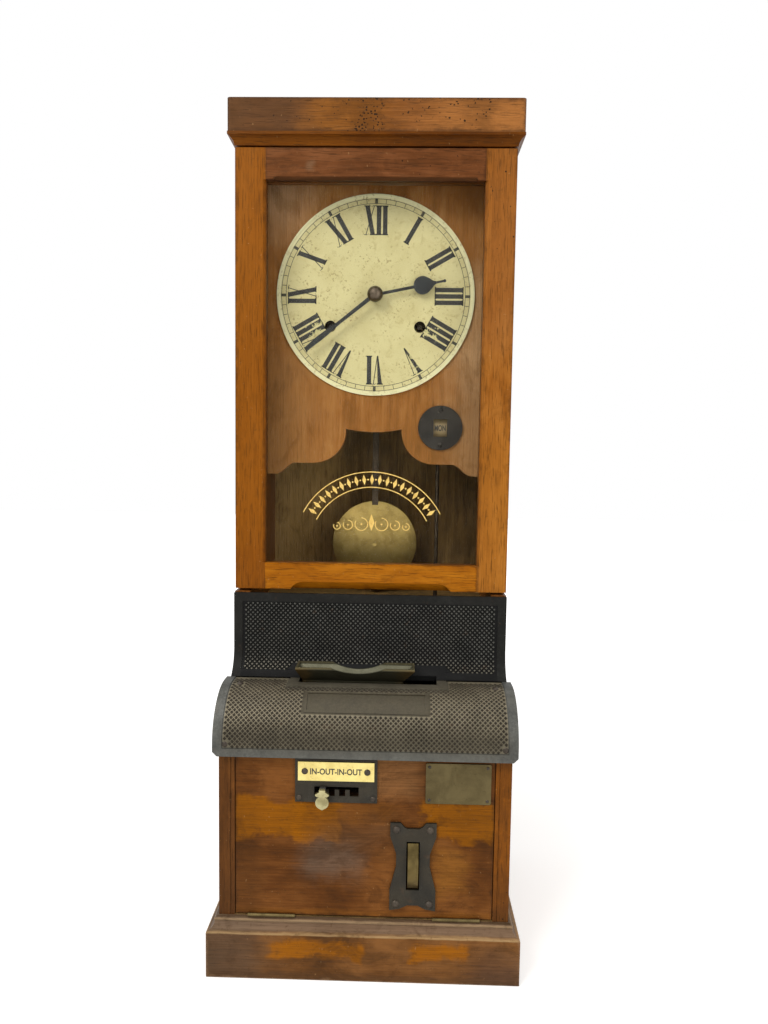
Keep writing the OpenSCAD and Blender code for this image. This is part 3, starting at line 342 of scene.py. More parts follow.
def wood(name, axis, cols, seed, edges=None, patches=(), worm=(), rough=(0.30, 0.52), pore=0.55, ring=0.5,
         blotch=0.35, grime=0.35):
    m = Wood(name, axis, seed)
    m.lay_figure(cols, ring, blotch)
    for item in patches:
        m.lay_patch(*item)
    if edges:
        m.wear_edges(*edges)
    m.soil(cols[0], pore, grime)
    for item in worm:
        m.bore_holes(*item)
    sheen = m.remap(m.plus(m.cloud, m.times(m.fibre, 0.3)), 0.4, 0.9, *rough)
    return m.surface(sheen, Normal=m.bump(m.height, 0.25 * MM, 0.5), IOR=1.48, Specular_IOR_Level=0.20,
                     Specular_Tint=(1.0, 0.66, 0.34))


OAK = [(0.130, 0.040, 0.004), (0.270, 0.088, 0.010), (0.390, 0.150, 0.026)]
RAIL = [(0.058, 0.018, 0.005), (0.120, 0.038, 0.011), (0.190, 0.068, 0.024)]
BOTTOM_RAIL = [(0.165, 0.045, 0.002), (0.325, 0.100, 0.003), (0.450, 0.160, 0.008)]
CORNICE = [(0.075, 0.026, 0.007), (0.170, 0.058, 0.014), (0.300, 0.112, 0.028)]
COVE = [(0.042, 0.010, 0.001), (0.094, 0.024, 0.001), (0.180, 0.053, 0.003)]
SIDE = [(0.060, 0.020, 0.004), (0.150, 0.050, 0.009), (0.250, 0.090, 0.018)]
DARK = [(0.040, 0.014, 0.004), (0.095, 0.036, 0.010), (0.165, 0.066, 0.020)]
BOARD = [(0.165, 0.064, 0.014), (0.305, 0.120, 0.030), (0.440, 0.205, 0.068)]
INNER = [(0.065, 0.040, 0.016), (0.160, 0.098, 0.038), (0.280, 0.170, 0.064)]
LOWER = [(0.040, 0.012, 0.003), (0.102, 0.032, 0.006), (0.195, 0.070, 0.016)]
PLINTH = [(0.044, 0.018, 0.006), (0.118, 0.046, 0.012), (0.215, 0.090, 0.026)]
AMBER = (0.275, 0.088, 0.0)

lo_stile, hi_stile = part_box("door_stiles")
lo_rail, hi_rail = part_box("door_top_rail")
lo_side, hi_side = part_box("side_boards")
lo_plinth, hi_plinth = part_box("plinth_boards")

stile_edges = [("x", lo_stile.x), ("x", hi_stile.x), ("x", lo_rail.x), ("x", hi_rail.x)]
m_stile = wood("wood_stile", "Z", OAK, 0.0, ring=0.22, blotch=0.30,
               edges=(stile_edges, 4 * MM, (0.060, 0.018, 0.004), 0.55),
               patches=[patch((0.225, 0.064, 0.001), 0.80, 0.01, x=(None, 0.0)),
                        patch((0.270, 0.100, 0.026), 0.55, 0.03, x=(0.12, None), z=(0.70, 0.95)),
                        patch((0.440, 0.165, 0.020), 0.70, 0.05, x=(0.12, None), z=(0.39, 0.60)),
                        patch((0.200, 0.056, 0.003), 0.60, 0.02, x=(None, 0.0), z=(0.40, 0.47))],
               worm=[holes(130.0, 1.0 * MM, 0.40, x=(0.12, None), z=(0.80, 0.925))])

chamfer_x = hi_rail.x - 9 * MM
m_toprail = wood("wood_top_rail", "X", RAIL, 0.31, ring=0.30,
                 edges=(planes_of("door_top_rail"), 4 * MM, (0.030, 0.010, 0.004), 0.6),
                 patches=[patch((0.220, 0.140, 0.080), 0.45, 0.004, 0.35,
                                x=(-0.077, -0.070), z=(0.898, 0.909)),
                          # Painted shade: the dark band along the rail's lower edge, between the chamfer's
                          # stops, is the chamfer in shadow.
                          patch((0.022, 0.007, 0.002), 0.80, 0.0012, 0.03,
                                x=(-chamfer_x, chamfer_x), z=(None, lo_rail.z + 3.4 * MM))],
                 worm=[holes(130.0, 1.0 * MM, 0.38, x=(0.02, 0.12))])
m_botrail = wood("wood_bottom_rail", "X", BOTTOM_RAIL, 0.57, ring=0.25,
                 edges=(planes_of("door_bottom_rail"), 3 * MM, (0.060, 0.017, 0.003), 0.6))

m_cornice = wood("wood_cornice", "XY", CORNICE, 0.83, ring=0.35, blotch=0.5,
                 edges=(planes_of("cornice"), 6 * MM, (0.045, 0.018, 0.008), 0.7),
                 patches=[patch((0.070, 0.030, 0.013), 0.90, 0.035, x=(None, -0.070)),
                          patch((0.215, 0.074, 0.008), 0.70, 0.030, x=(-0.075, 0.015)),
                          patch((0.370, 0.145, 0.038), 0.80, 0.040, x=(0.05, None)),
                          patch((0.130, 0.048, 0.012), 0.60, 0.012, x=(0.100, 0.135), z=(0.955, None))],
                 worm=[holes(260.0, 1.1 * MM, 0.56, x=(-0.022, 0.010)),
                       holes(190.0, 0.9 * MM, 0.42, x=(-0.070, 0.045)),
                       holes(190.0, 1.1 * MM, 0.46, x=(0.03, 0.13), z=(0.950, None)),
                       holes(150.0, 0.9 * MM, 0.37, x=(-0.15, -0.05))])
m_cove = wood("wood_cove", "XY", COVE, 0.21, ring=0.25)

side_edges = [("z", hi_plinth.z + 0.2 * MM), ("y", lo_side.y), ("y", hi_side.y)]
m_side = wood("wood_side", "Z", SIDE, 0.44, ring=0.3,
              edges=(side_edges, 8 * MM, (0.045, 0.016, 0.006), 0.6),
              patches=[patch((0.430, 0.125, 0.003), 0.85, 0.02, x=(0.10, None), z=(0.07, 0.25)),
                       patch((0.110, 0.044, 0.014), 0.50, 0.02, z=(0.05, 0.11))],
              worm=[holes(110.0, 0.8 * MM, 0.44, x=(0.13, None), z=(0.06, 0.16))])
m_board = wood("wood_board", "Z", BOARD, 0.67, ring=0.25, blotch=0.55, rough=(0.30, 0.5), pore=0.30,
               # Painted light: the pale patch at the upper left lifts the shade under the door's top rail,
               # and the one on the right stands for reflections on the board.
               patches=[patch((0.600, 0.360, 0.200), 0.85, 0.03, x=(None, -0.085), z=(0.84, None)),
                        patch((0.540, 0.335, 0.180), 0.75, 0.03, x=(0.095, None), z=(None, 0.80)),
                        patch((0.340, 0.160, 0.056), 0.70, 0.03, x=(None, -0.075), z=(None, 0.70)),
                        patch((0.340, 0.150, 0.045), 0.50, 0.05, x=(0.03, None), z=(None, 0.62))])
m_inner = wood("wood_inner", "Z", INNER, 0.12, ring=0.3, rough=(0.5, 0.7),
               patches=[patch((0.520, 0.330, 0.120), 0.75, 0.03, x=(None, -0.055), z=(0.36, 0.62))])

notch_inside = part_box("drop_panel")[0].y + 1.2 * MM
m_panel = wood("wood_panel", "X", LOWER, 0.35, ring=0.06, blotch=0.95, pore=0.22, grime=0.40,
               edges=(planes_of("drop_panel"), 4 * MM, (0.030, 0.010, 0.004), 0.6),
               patches=[patch(AMBER, 0.92, 0.004, x=(None, -0.062), z=(0.160, 0.200)),
                        patch(AMBER, 0.92, 0.004, x=(-0.075, -0.024), z=(0.152, 0.200)),
                        patch((0.200, 0.070, 0.008), 0.50, 0.007, x=(-0.030, 0.030), z=(0.178, 0.196)),
                        patch(AMBER, 0.92, 0.004, x=(0.060, None), z=(0.160, 0.198)),
                        patch((0.112, 0.052, 0.022), 0.70, 0.018, x=(-0.05, 0.03), z=(0.150, 0.178)),
                        # A painted sheen: the pale greyish patch in the middle of the panel.
                        patch((0.180, 0.132, 0.098), 0.60, 0.018, x=(-0.065, 0.00), z=(0.115, 0.150)),
                        patch((0.260, 0.102, 0.014), 0.60, 0.012, x=(0.075, 0.112), z=(0.095, 0.150)),
                        patch((0.290, 0.134, 0.050), 0.65, 0.012, 0.5, x=(-0.02, 0.062), z=(0.205, None)),
                        patch((0.240, 0.086, 0.012), 0.50, 0.003, 0.15, z=(None, 0.074)),
                        patch((0.075, 0.026, 0.006), 0.60, 0.010, 0.4, x=(None, -0.112), z=(None, 0.155)),
                        # Painted shade: the walls of the selector's slot, set back from the panel's front,
                        # are near black.
                        patch((0.006, 0.004, 0.002), 0.95, 0.0004, 0.0,
                              x=(-0.060, 0.0), y=(notch_inside, None), z=(0.194, 0.218))])

plinth_edges = [("z", 0.0), ("x", lo_plinth.x), ("x", hi_plinth.x)]
m_plinth = wood("wood_plinth", "XY", PLINTH, 0.91, ring=0.10, blotch=0.95, pore=0.28, grime=0.45,
                edges=(plinth_edges, 4 * MM, (0.270, 0.165, 0.090), 0.45),
                patches=[patch((0.335, 0.108, 0.001), 0.95, 0.004, 0.6, x=(-0.10, 0.005), z=(0.026, 0.044)),
                         patch((0.330, 0.105, 0.001), 0.90, 0.004, 0.6, x=(0.055, 0.115), z=(0.028, 0.044)),
                         patch((0.102, 0.066, 0.043), 0.75, 0.030, x=(None, -0.11)),
                         patch((0.080, 0.052, 0.042), 0.65, 0.030, x=(0.12, None), z=(None, 0.03)),
                         patch((0.075, 0.036, 0.016), 0.60, 0.004, 0.2, z=(None, 0.008)),
                         patch((0.188, 0.128, 0.087), 0.85, 0.0008, 0.03, z=(0.0530, None)),
                         patch((0.430, 0.285, 0.140), 0.75, 0.0006, 0.06, z=(0.0508, 0.0529)),
                         # A painted highlight: the pale line along the top of the bead.
                         patch((0.330, 0.230, 0.130), 0.70, 0.0006, 0.06, z=(0.0612, 0.0640)),
                         patch((0.060, 0.036, 0.018), 0.70, 0.0004, 0.03, z=(0.0642, None)),
                         patch((0.300, 0.190, 0.105), 0.50, 0.0006, 0.06, z=(None, 0.0012))])
m_bead = wood("wood_bead", "XY", DARK, 0.5)


# Iron

def iron(name, base, dust, dusty, rough=(0.42, 0.62), metal=0.35, scale=1.0, zones=(), spec=0.3):
    """Painted iron with dust, specks of rust and rubbed spots."""
    m = Mat(name)
    large = m.noise(m.co, 45.0 * scale, 5.0, 0.65, 0.3)
    small = m.noise(m.co, 420.0 * scale, 4.0, 0.7)
    pits = m.remap(m.noise(m.co, 900.0 * scale, 2.0, 0.6), 0.60, 0.72)
    light = tuple(v * 1.9 + 0.01 for v in base)
    m.col = m.ramp(m.plus(m.times(large, 0.6), m.times(small, 0.4)),
                   [(0.30, scaled(base, 0.45)), (0.5, base), (0.72, light)])
    film = m.remap(m.noise(m.co, 16.0, 5.0, 0.6, 0.5), 0.42, 0.66, smooth=True)
    m.cover(m.times(film, dusty), dust)
    rust = m.remap(m.noise(m.co, 75.0, 5.0, 0.7), 0.60, 0.70)
    m.cover(m.times(rust, 0.30), (0.085, 0.045, 0.022))
    rubbed = m.remap(m.noise(m.co, 120.0, 4.0, 0.6), 0.60, 0.75)
    m.cover(m.times(rubbed, 0.25), light)
    for where, tint, share, soft, _ in zones:
        fleck = m.remap(m.plus(m.times(large, 0.5), m.times(small, 0.5)), 0.3, 0.7, 0.6, 1.4)
        m.cover(m.times(m.box_mask(where, soft), share), m.flecked(tint, fleck))
    relief = m.minus(m.times(small, 0.6), m.times(pits, 0.6))
    return m.surface(m.remap(large, 0.3, 0.7, *rough), metal, Normal=m.bump(relief, 0.2 * MM, 0.6),
                     Specular_IOR_Level=spec)


# The cover's section, as in the solids: the hood's round and the plate's hollow, as (y, z) of their centres
lo_hood, hi_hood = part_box("cover_hood")
lo_plate, hi_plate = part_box("cover_back_plate")
HOOD_R, HOLLOW_R, RAISE = 55 * MM, 38 * MM, 1 * MM
PLATE_THICK, PLATE_LIFT, HOLLOW_TURN = 4.5 * MM, 0.3 * MM, math.radians(55)
HOOD_C = (lo_hood.y + HOOD_R, hi_hood.z - HOOD_R)
HOLLOW_C = (hi_plate.y - PLATE_THICK - HOLLOW_R, hi_hood.z + PLATE_LIFT + HOLLOW_R * math.sin(HOLLOW_TURN))

# Its knurled fields, with their half widths and how far from the edge they start, and the bare places
LOWER_HALF, LOWER_START = 153.8 * MM, 9.6 * MM
UPPER_HALF, UPPER_START = 149.5 * MM, 10.6 * MM
PAD_HALF, PAD_Z = 92 * MM, HOOD_C[1] + 50.8 * MM
TABLET_HALF, TABLET_Z = 70.5 * MM, (HOOD_C[1] + 32.5 * MM, HOOD_C[1] + 50.7 * MM)
TABLET_TURN = (20.0, 53.0)
field_x = (0.3 * MM - LOWER_HALF, LOWER_HALF - 0.3 * MM)
field_z = lo_hood.z + LOWER_START + 0.2 * MM
pad_x = (-PAD_HALF, PAD_HALF)
tablet_x = (-TABLET_HALF, TABLET_HALF)

m_iron_plate = iron("iron_plate", (0.007, 0.007, 0.006), (0.014, 0.013, 0.011),
                    0.5, (0.45, 0.65), 0.1, spec=0.14,
                    zones=[patch((0.002, 0.002, 0.002), 0.95, 0.0003,
                                 x=(-UPPER_HALF, UPPER_HALF), z=(None, hi_plate.z - UPPER_START))])
m_iron_hood = iron("iron_hood", (0.080, 0.081, 0.074), (0.130, 0.130, 0.114), 0.6, (0.44, 0.62), 0.35,
                   zones=[patch((0.185, 0.158, 0.104), 0.85, 0.0004, x=field_x, z=(field_z, None)),
                          patch((0.058, 0.050, 0.032), 0.90, 0.016,
                                x=field_x, z=(field_z, HOOD_C[1] + 16 * MM)),
                          patch((0.066, 0.060, 0.045), 0.80, 0.0008, x=pad_x, z=(PAD_Z, None)),
                          patch((0.048, 0.041, 0.026), 0.90, 0.0004, x=tablet_x, z=TABLET_Z)])
m_knurl_plate = iron("iron_knurl_plate", (0.006, 0.006, 0.005), (0.012, 0.011, 0.009), 0.4, (0.34, 0.5), 0.1,
                     spec=0.16)
# The upper plate's knurl tops are lighter than their sides as painted highlights, lighter still on the lowest
# rows.
m_knurl_plate_highlight = iron("iron_knurl_plate_highlight", (0.054, 0.054, 0.048), (0.072, 0.068, 0.056),
                         0.4, (0.34, 0.5), 0.3,
                         zones=[patch((0.095, 0.085, 0.060), 0.70, 0.010, z=(None, hi_hood.z + 16 * MM))])
m_knurl_hood = iron("iron_knurl_hood", (0.038, 0.031, 0.020), (0.060, 0.050, 0.032),
                    0.5, (0.42, 0.6), 0.2, spec=0.2)
m_knurl_hood_top = iron("iron_knurl_hood_top", (0.021, 0.017, 0.011), (0.040, 0.033, 0.022),
                        0.5, (0.42, 0.6), 0.2,
                        spec=0.2)
m_iron_lever = iron("iron_escutcheon", (0.021, 0.018, 0.012), (0.042, 0.032, 0.018),
                    0.5, (0.38, 0.58), 0.3, 1.4)
m_iron_day = iron("iron_day", (0.025, 0.023, 0.022), (0.044, 0.040, 0.035),
                  0.4, (0.45, 0.65), 0.2, 1.4, spec=0.2)
m_iron_inside = iron("iron_inside", (0.035, 0.034, 0.032), (0.060, 0.055, 0.045), 0.4)
m_screw = iron("iron_screw", (0.045, 0.036, 0.028), (0.090, 0.070, 0.048), 0.4, (0.35, 0.55), 0.5, 2.0)


# Brass, bronze and steel

def metal(name, base, tarnish, amount=0.5, rough=(0.28, 0.5), brushed=None, scale=1.0):
    """Bare metal with tarnish and spots, and fine lines along one axis where it is brushed."""
    m = Mat(name)
    large = m.noise(m.co, 60.0 * scale, 5.0, 0.65, 0.4)
    small = m.noise(m.co, 700.0 * scale, 3.0, 0.6)
    lines = small
    if brushed:
        drawn = [m.times(c, 0.03 if axis == brushed else 1.0) for axis, c in zip("XYZ", (m.x, m.y, m.z))]
        lines = m.noise(m.vec(*drawn), 2600.0, 2.0, 0.5)
    stain = m.remap(large, 0.38, 0.66, smooth=True)
    m.col = m.mix(m.times(stain, amount), base, tarnish)
    spots = m.remap(m.noise(m.co, 330.0 * scale, 4.0, 0.75), 0.60, 0.72)
    m.cover(m.times(spots, 0.45), scaled(tarnish, 0.35))
    dull = m.plus(m.remap(large, 0.3, 0.7, *rough), m.times(lines, 0.12))
    return m.surface(dull, 1.0, Normal=m.bump(m.plus(lines, m.times(small, 0.4)), 0.06 * MM, 0.5))


def funnel_metal(name):
    """Grey-green inside. The outside of its front wall is painted dark as shade under the lip, with painted
    orange-brown reflections on the flanks, and yellow along the rim.
    """
    m = Mat(name)
    lo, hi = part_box("card_funnel")
    middle = (lo + hi) / 2
    large = m.noise(m.co, 80.0, 5.0, 0.65, 0.5)
    front_wall = m.remap(m.y, middle.y - 2 * MM, middle.y + 2 * MM, 1.0, 0.0)
    shaded_outside = m.times(m.math("LESS_THAN", m.split(m.facing)[1], -0.2), front_wall)
    away = m.math("ABSOLUTE", m.minus(m.x, middle.x))
    reflection_flank = m.remap(m.plus(away, m.times(large, 0.03)), 56 * MM, 80 * MM, smooth=True)
    m.col = m.mix(large, (0.140, 0.136, 0.092), (0.075, 0.072, 0.044))
    # Painted shade on the outside of the front wall, under the lip, with painted reflections on its flanks.
    m.cover(shaded_outside, m.mix(reflection_flank, (0.029, 0.027, 0.015), (0.060, 0.037, 0.010)))
    rim = m.remap(m.z, hi.z - 2.4 * MM, hi.z - 0.4 * MM, 0.0, 0.75, smooth=True)
    m.cover(rim, (0.130, 0.108, 0.052))
    fine = m.noise(m.co, 700.0, 4.0, 0.65)
    return m.surface(m.remap(large, 0.3, 0.7, 0.42, 0.62), 0.75, Normal=m.bump(fine, 0.1 * MM, 0.5))


def two_toned(name, front, back, y):
    """Metal that turns from one tone to another at a place along Y."""
    m = Mat(name)
    large = m.noise(m.co, 90.0, 5.0, 0.65, 0.4)
    far = m.remap(m.plus(m.y, m.times(large, 1 * MM)), y - 1 * MM, y + 1 * MM)
    m.col = m.mix(far, front, back)
    m.cover(m.remap(large, 0.35, 0.65, 0.0, 0.6), (0.05, 0.04, 0.02))
    fine = m.noise(m.co, 900.0, 3.0, 0.6)
    return m.surface(m.remap(fine, 0.3, 0.7, 0.35, 0.55), 1.0, Normal=m.bump(fine, 0.06 * MM, 0.5))


m_brass = metal("brass_worn", (0.52, 0.37, 0.13), (0.26, 0.17, 0.06), 0.6)
m_brass_io = metal("brass_pale", (0.74, 0.62, 0.24), (0.52, 0.40, 0.13), 0.4, (0.34, 0.48), "X")
m_brass_knob = metal("brass_knob", (0.44, 0.40, 0.22), (0.20, 0.17, 0.08), 0.7, (0.34, 0.52), "Z")
m_brass_lever = metal("brass_lever", (0.130, 0.096, 0.037), (0.045, 0.032, 0.012), 0.7, (0.24, 0.40), "X")
m_brass_dark = metal("brass_tarnished", (0.036, 0.030, 0.020), (0.018, 0.015, 0.010), 0.5)
m_brass_bob = metal("brass_bob", (0.39, 0.295, 0.105), (0.215, 0.156, 0.053), 0.55, (0.34, 0.5))
m_bronze_plate = metal("bronze_number", (0.120, 0.094, 0.044), (0.078, 0.060, 0.028),
                       0.6, (0.42, 0.6), "X", 0.6)
m_bronze_funnel = funnel_metal("bronze_funnel")
m_hinge = metal("brass_hinge_dull", (0.150, 0.115, 0.050), (0.070, 0.050, 0.022), 0.6, (0.42, 0.6))
# The barrels' fronts, seen in the winding holes, are painted near black as the shade inside the holes; behind
# that they are brass.
m_barrel = two_toned("barrel_arbor_painted_shade", (0.018, 0.019, 0.021), (0.46, 0.33, 0.12), 16 * MM)
m_steel = metal("steel_worn", (0.36, 0.36, 0.35), (0.20, 0.18, 0.16), 0.5)
m_blued = metal("steel_blued", (0.042, 0.047, 0.052), (0.022, 0.022, 0.024), 0.5, (0.30, 0.42))
m_boss = metal("steel_boss", (0.115, 0.095, 0.075), (0.060, 0.045, 0.034), 0.5, (0.22, 0.36))
m_rod = metal("steel_rod", (0.075, 0.060, 0.045), (0.040, 0.030, 0.022), 0.5, (0.4, 0.6))
m_gold = metal("gilt", (0.80, 0.58, 0.20), (0.52, 0.34, 0.09), 0.5, (0.34, 0.5))


# Cream paint, print and glass

lo_dial, hi_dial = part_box("dial")
DIAL_C = ((lo_dial.x + hi_dial.x) / 2, (lo_dial.z + hi_dial.z) / 2)
DIAL_R = (hi_dial.x - lo_dial.x) / 2
WORN_CREAM = (0.60, 0.55, 0.27)


def paint(name, base, stain, rough, seed=0.0, dial=None):
    """Cream paint with stains and fly specks. A dial, as its centre and radius, has a paler rim, which is
    painted light lifting the shade at its edge.
    """
    m = Mat(name)
    large = m.noise(m.vec(m.plus(m.x, seed), m.y, m.z), 30.0, 5.0, 0.6, 0.4)
    small = m.noise(m.co, 260.0, 4.0, 0.7)
    m.col = m.mix(m.remap(large, 0.35, 0.7, 0.0, 0.55, smooth=True), base, stain)
    if dial:
        centre, radius = dial
        # Painted light: the paler rim lifts the shade at the dial's edge.
        rim = m.remap(m.distance(*centre), radius * 0.945, radius * 0.970, 0.0, 0.8, smooth=True)
        m.cover(rim, (0.82, 0.79, 0.53))
    specks = m.remap(m.noise(m.co, 380.0, 2.0, 0.5), 0.60, 0.66)
    clumps = m.remap(m.noise(m.co, 45.0, 3.0, 0.6), 0.46, 0.58)
    m.cover(m.times(specks, clumps, 0.6), (0.26, 0.17, 0.06))
    blots = m.remap(m.noise(m.co, 80.0, 4.0, 0.7, 0.6), 0.54, 0.68, 0.0, 0.35, smooth=True)
    m.cover(blots, (0.40, 0.30, 0.12))
    dull = m.remap(small, 0.3, 0.7, rough - 0.08, rough + 0.12)
    return m.surface(dull, Normal=m.bump(small, 0.05 * MM, 0.4), Specular_IOR_Level=0.3)


def ink(name, base, under, worn_at=(), worn_r=0.0):
    """Printed paint that is chipped, most of all near some points, where what is under it shows."""
    m = Mat(name)
    chips = m.noise(m.co, 170.0, 5.0, 0.7, 0.6)
    near = m.fold("MAXIMUM", [0.0] + [m.remap(m.distance(*c), worn_r, worn_r * 0.25) for c in worn_at])
    chipped = m.math("GREATER_THAN", chips, m.minus(0.74, m.times(near, 0.20)))
    faded = tuple(v * 2.0 + 0.004 for v in base)
    m.col = m.mix(m.remap(m.noise(m.co, 60.0, 4.0, 0.6), 0.4, 0.65, 0.0, 0.6), base, faded)
    m.cover(chipped, under)
    return m.surface(0.45)


def glass_pane(name):
    """Clear glass with a film of dust, which also paints a warm haze of reflections. Shadow rays and
    scattered light pass straight through it.
    """
    m = Mat(name)
    glass = m.set(m.add("BsdfPrincipled"), Base_Color=(0.97, 0.95, 0.90), Roughness=0.0, IOR=1.46,
                  Transmission_Weight=1.0, Specular_Tint=(0.01, 0.01, 0.01))
    # The warm diffuse film is partly real dust and partly a painted haze of reflections.
    dust = m.set(m.add("BsdfDiffuse"), Color=(0.66, 0.53, 0.37))
    clear = m.set(m.add("BsdfTransparent"), Color=(0.95, 0.97, 0.955))
    specks = m.remap(m.noise(m.co, 330.0, 3.0, 0.6), 0.72, 0.75)
    smears_and_reflection_haze = m.remap(m.noise(m.co, 22.0, 5.0, 0.6, 0.7), 0.40, 0.75, 0.002, 0.010)
    film = m.plus(m.times(specks, 0.05), smears_and_reflection_haze)
    path = m.add("LightPath").outputs
    passing = m.math("MAXIMUM", path["Is Shadow Ray"], path["Is Diffuse Ray"])
    m.end("OutputMaterial", m.blend(passing, m.blend(film, glass, dust), clear))
    return m.mat


m_dial = paint("dial_cream", (0.690, 0.625, 0.345), (0.570, 0.495, 0.245), 0.36, dial=(DIAL_C, DIAL_R))
m_drum = paint("drum_cream", (0.36, 0.27, 0.15), (0.26, 0.18, 0.09), 0.5, 0.3)
m_glass = glass_pane("door_pane")


# What each piece of the solids is made of

dress(m_stile, "door_stiles")
dress(m_toprail, "door_top_rail")
dress(m_botrail, "door_bottom_rail")
dress(m_cornice, "cornice")
dress(m_cove, "cove_moulding")
dress(m_side, "side_boards")
dress(m_board, "dial_board")
dress(m_inner, "bottom_board", "back_board", "shelf_board")
dress(m_panel, "drop_panel")
dress(m_bead, "glazing_beads")
dress(m_iron_plate, "cover_back_plate")
dress(m_iron_hood, "cover_hood")
dress(m_iron_lever, "lever_escutcheon", "selector_bracket")
dress(m_iron_day, "day_escutcheon")
dress(m_iron_inside, "movement_bracket", "recorder_frame", "ribbon_spool_left", "ribbon_spool_right")
dress(m_screw, "cover_screws", "panel_screws")
dress(m_brass_dark, "movement_front_plate")
dress(m_brass, "movement_back_plate", "door_hinge_leaves", "door_catch", "hour_wheel", "minute_wheel",
      "escape_wheel", "type_wheel_minutes", "type_wheel_hours", "type_wheel_days")
dress(m_hinge, "case_hinge_leaves", "panel_hinge_leaves")
dress(m_barrel, "left_barrel", "right_barrel")
dress(m_brass_io, "in_out_plate")
dress(m_brass_knob, "selector_knob")
dress(m_brass_lever, "print_lever")
dress(m_brass_bob, "pendulum_bob")
dress(m_bronze_plate, "number_plate")
dress(m_bronze_funnel, "card_funnel")
dress(m_steel, "guide_rods", "lever_bracket", "selector_slide", "card_chute", "anchor", "lay_gear",
      "print_hammer")
dress(m_blued, "minute_hand", "hour_hand")
dress(m_boss, "centre_arbor")
dress(m_rod, "pendulum_rod", "drive_shaft")
dress(m_dial, "dial")
dress(m_drum, "day_wheel")
dress(m_glass, "door_glass")


# New pieces

def add_object(name, data):
    ob = bpy.data.objects.new(name, data)
    bpy.context.scene.collection.objects.link(ob)
    return ob


def face_outwards(ob):
    bm = bmesh.new()
    bm.from_mesh(ob.data)
    bmesh.ops.recalc_face_normals(bm, faces=bm.faces)
    bm.to_mesh(ob.data)
    bm.free()


def piece(name, verts, faces, mat, body):
    me = bpy.data.meshes.new(name)
    me.from_pydata([tuple(v) for v in verts], [], faces)
    me.validate()
    me.update()
    ob = add_object(name, me)
    me.materials.append(mat)
    for p in me.polygons:
        p.use_smooth = False
    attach(ob, body)
    return ob


def plinth():
    """The plinth's boards with the bead and hollow of their sloping top, mitred at the front corners."""
    board = 12.0
    foot = [(0.1, 0.0), (board - 0.6, 0.0), (board, 0.7), (board, 51.2), (board - 0.3, 52.2)]
    hollow = [(11.0, 52.6), (9.0, 53.0), (7.3, 53.9), (6.0, 55.1), (5.0, 56.8), (4.3, 58.8), (3.9, 60.8)]
    bead = [(4.5, 61.4), (4.8, 62.3), (4.6, 63.2), (3.9, 63.9), (3.0, 64.2), (2.0, 64.3)]
    top = [(1.9, 65.2), (0.1, 65.8)]
    section = foot + hollow + bead + top
    half, front, back = hi_plinth.x - board * MM, lo_plinth.y + board * MM, hi_plinth.y
    corners = ((-1, back, 0), (-1, front, 1), (1, front, 1), (1, back, 0))
    verts = [(side * (half + out * MM), y - forward * out * MM, z * MM)
             for side, y, forward in corners for out, z in section]
    n = len(section)
    faces = [[k * n + i, k * n + (i + 1) % n, (k + 1) * n + (i + 1) % n, (k + 1) * n + i]
             for k in range(3) for i in range(n)]
    faces += [list(range(n - 1, -1, -1)), list(range(3 * n, 4 * n))]
    ob = piece("plinth_moulded", verts, faces, m_plinth, "case")
    face_outwards(ob)
    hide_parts("plinth_boards")


class Print:
    """Flat shapes on a plane that faces -Y, a hair thick. Points are (x, z) in metres."""

    def __init__(self, y, thick=0.08 * MM):
        self.v, self.f, self.y, self.t = [], [], y, thick

    def poly(self, pts):
        """A shape of any winding, convex or nearly so."""
        area = sum(a[0] * b[1] - b[0] * a[1] for a, b in zip(pts, pts[1:] + pts[:1]))
        if area < 0:
            pts = pts[::-1]
        n, k = len(pts), len(self.v)
        self.v += [(x, self.y - self.t, z) for x, z in pts] + [(x, self.y, z) for x, z in pts]
        self.f.append(list(range(k, k + n)))
        self.f.append(list(range(k + 2 * n - 1, k + n - 1, -1)))
        for i in range(n):
            j = (i + 1) % n
            self.f.append([k + j, k + i, k + n + i, k + n + j])

    def disc(self, c, r, n=12):
        turns = [math.radians(360.0 * i / n) for i in range(n)]
        self.poly([(c[0] + r * math.sin(u), c[1] + r * math.cos(u)) for u in turns])

    def ring(self, c, r0, r1, a0=0.0, a1=360.0, n=240):
        """A flat ring, or an arc with closed ends, clockwise from a0 to a1 degrees past twelve o'clock."""
        whole = a1 - a0 >= 360.0
        count = n if whole else n + 1
        k = len(self.v)
        for i in range(count):
            u = math.radians(a0 + (a1 - a0) * i / n)
            self.v += [(c[0] + r * math.sin(u), y, c[1] + r * math.cos(u))
                       for r in (r0, r1) for y in (self.y - self.t, self.y)]
        for i in range(n):
            p, q = k + 4 * i, k + 4 * ((i + 1) % count)
            self.f += [[p, q, q + 2, p + 2], [p + 1, p + 3, q + 3, q + 1],
                       [p + 2, q + 2, q + 3, p + 3], [p, p + 1, q + 1, q]]
        if not whole:
            e = k + 4 * n
            self.f += [[k, k + 2, k + 3, k + 1], [e, e + 1, e + 3, e + 2]]

    def done(self, name, mat, body):
        piece(name, self.v, self.f, mat, body)


def turned(centre, angle, pts):
    """Points given across and outwards, turned round a centre to so many degrees past twelve o'clock."""
    ca, sa = math.cos(math.radians(angle)), math.sin(math.radians(angle))
    return [(centre[0] + p * ca + q * sa, centre[1] - p * sa + q * ca) for p, q in pts]


def bar(half, q0, q1):
    return [(-half, q0), (half, q0), (half, q1), (-half, q1)]


def kite(half, tall, q):
    return [(0, q + tall), (half, q), (0, q - tall), (-half, q)]


# The dial's print: numerals with their feet to the centre, and the minute track

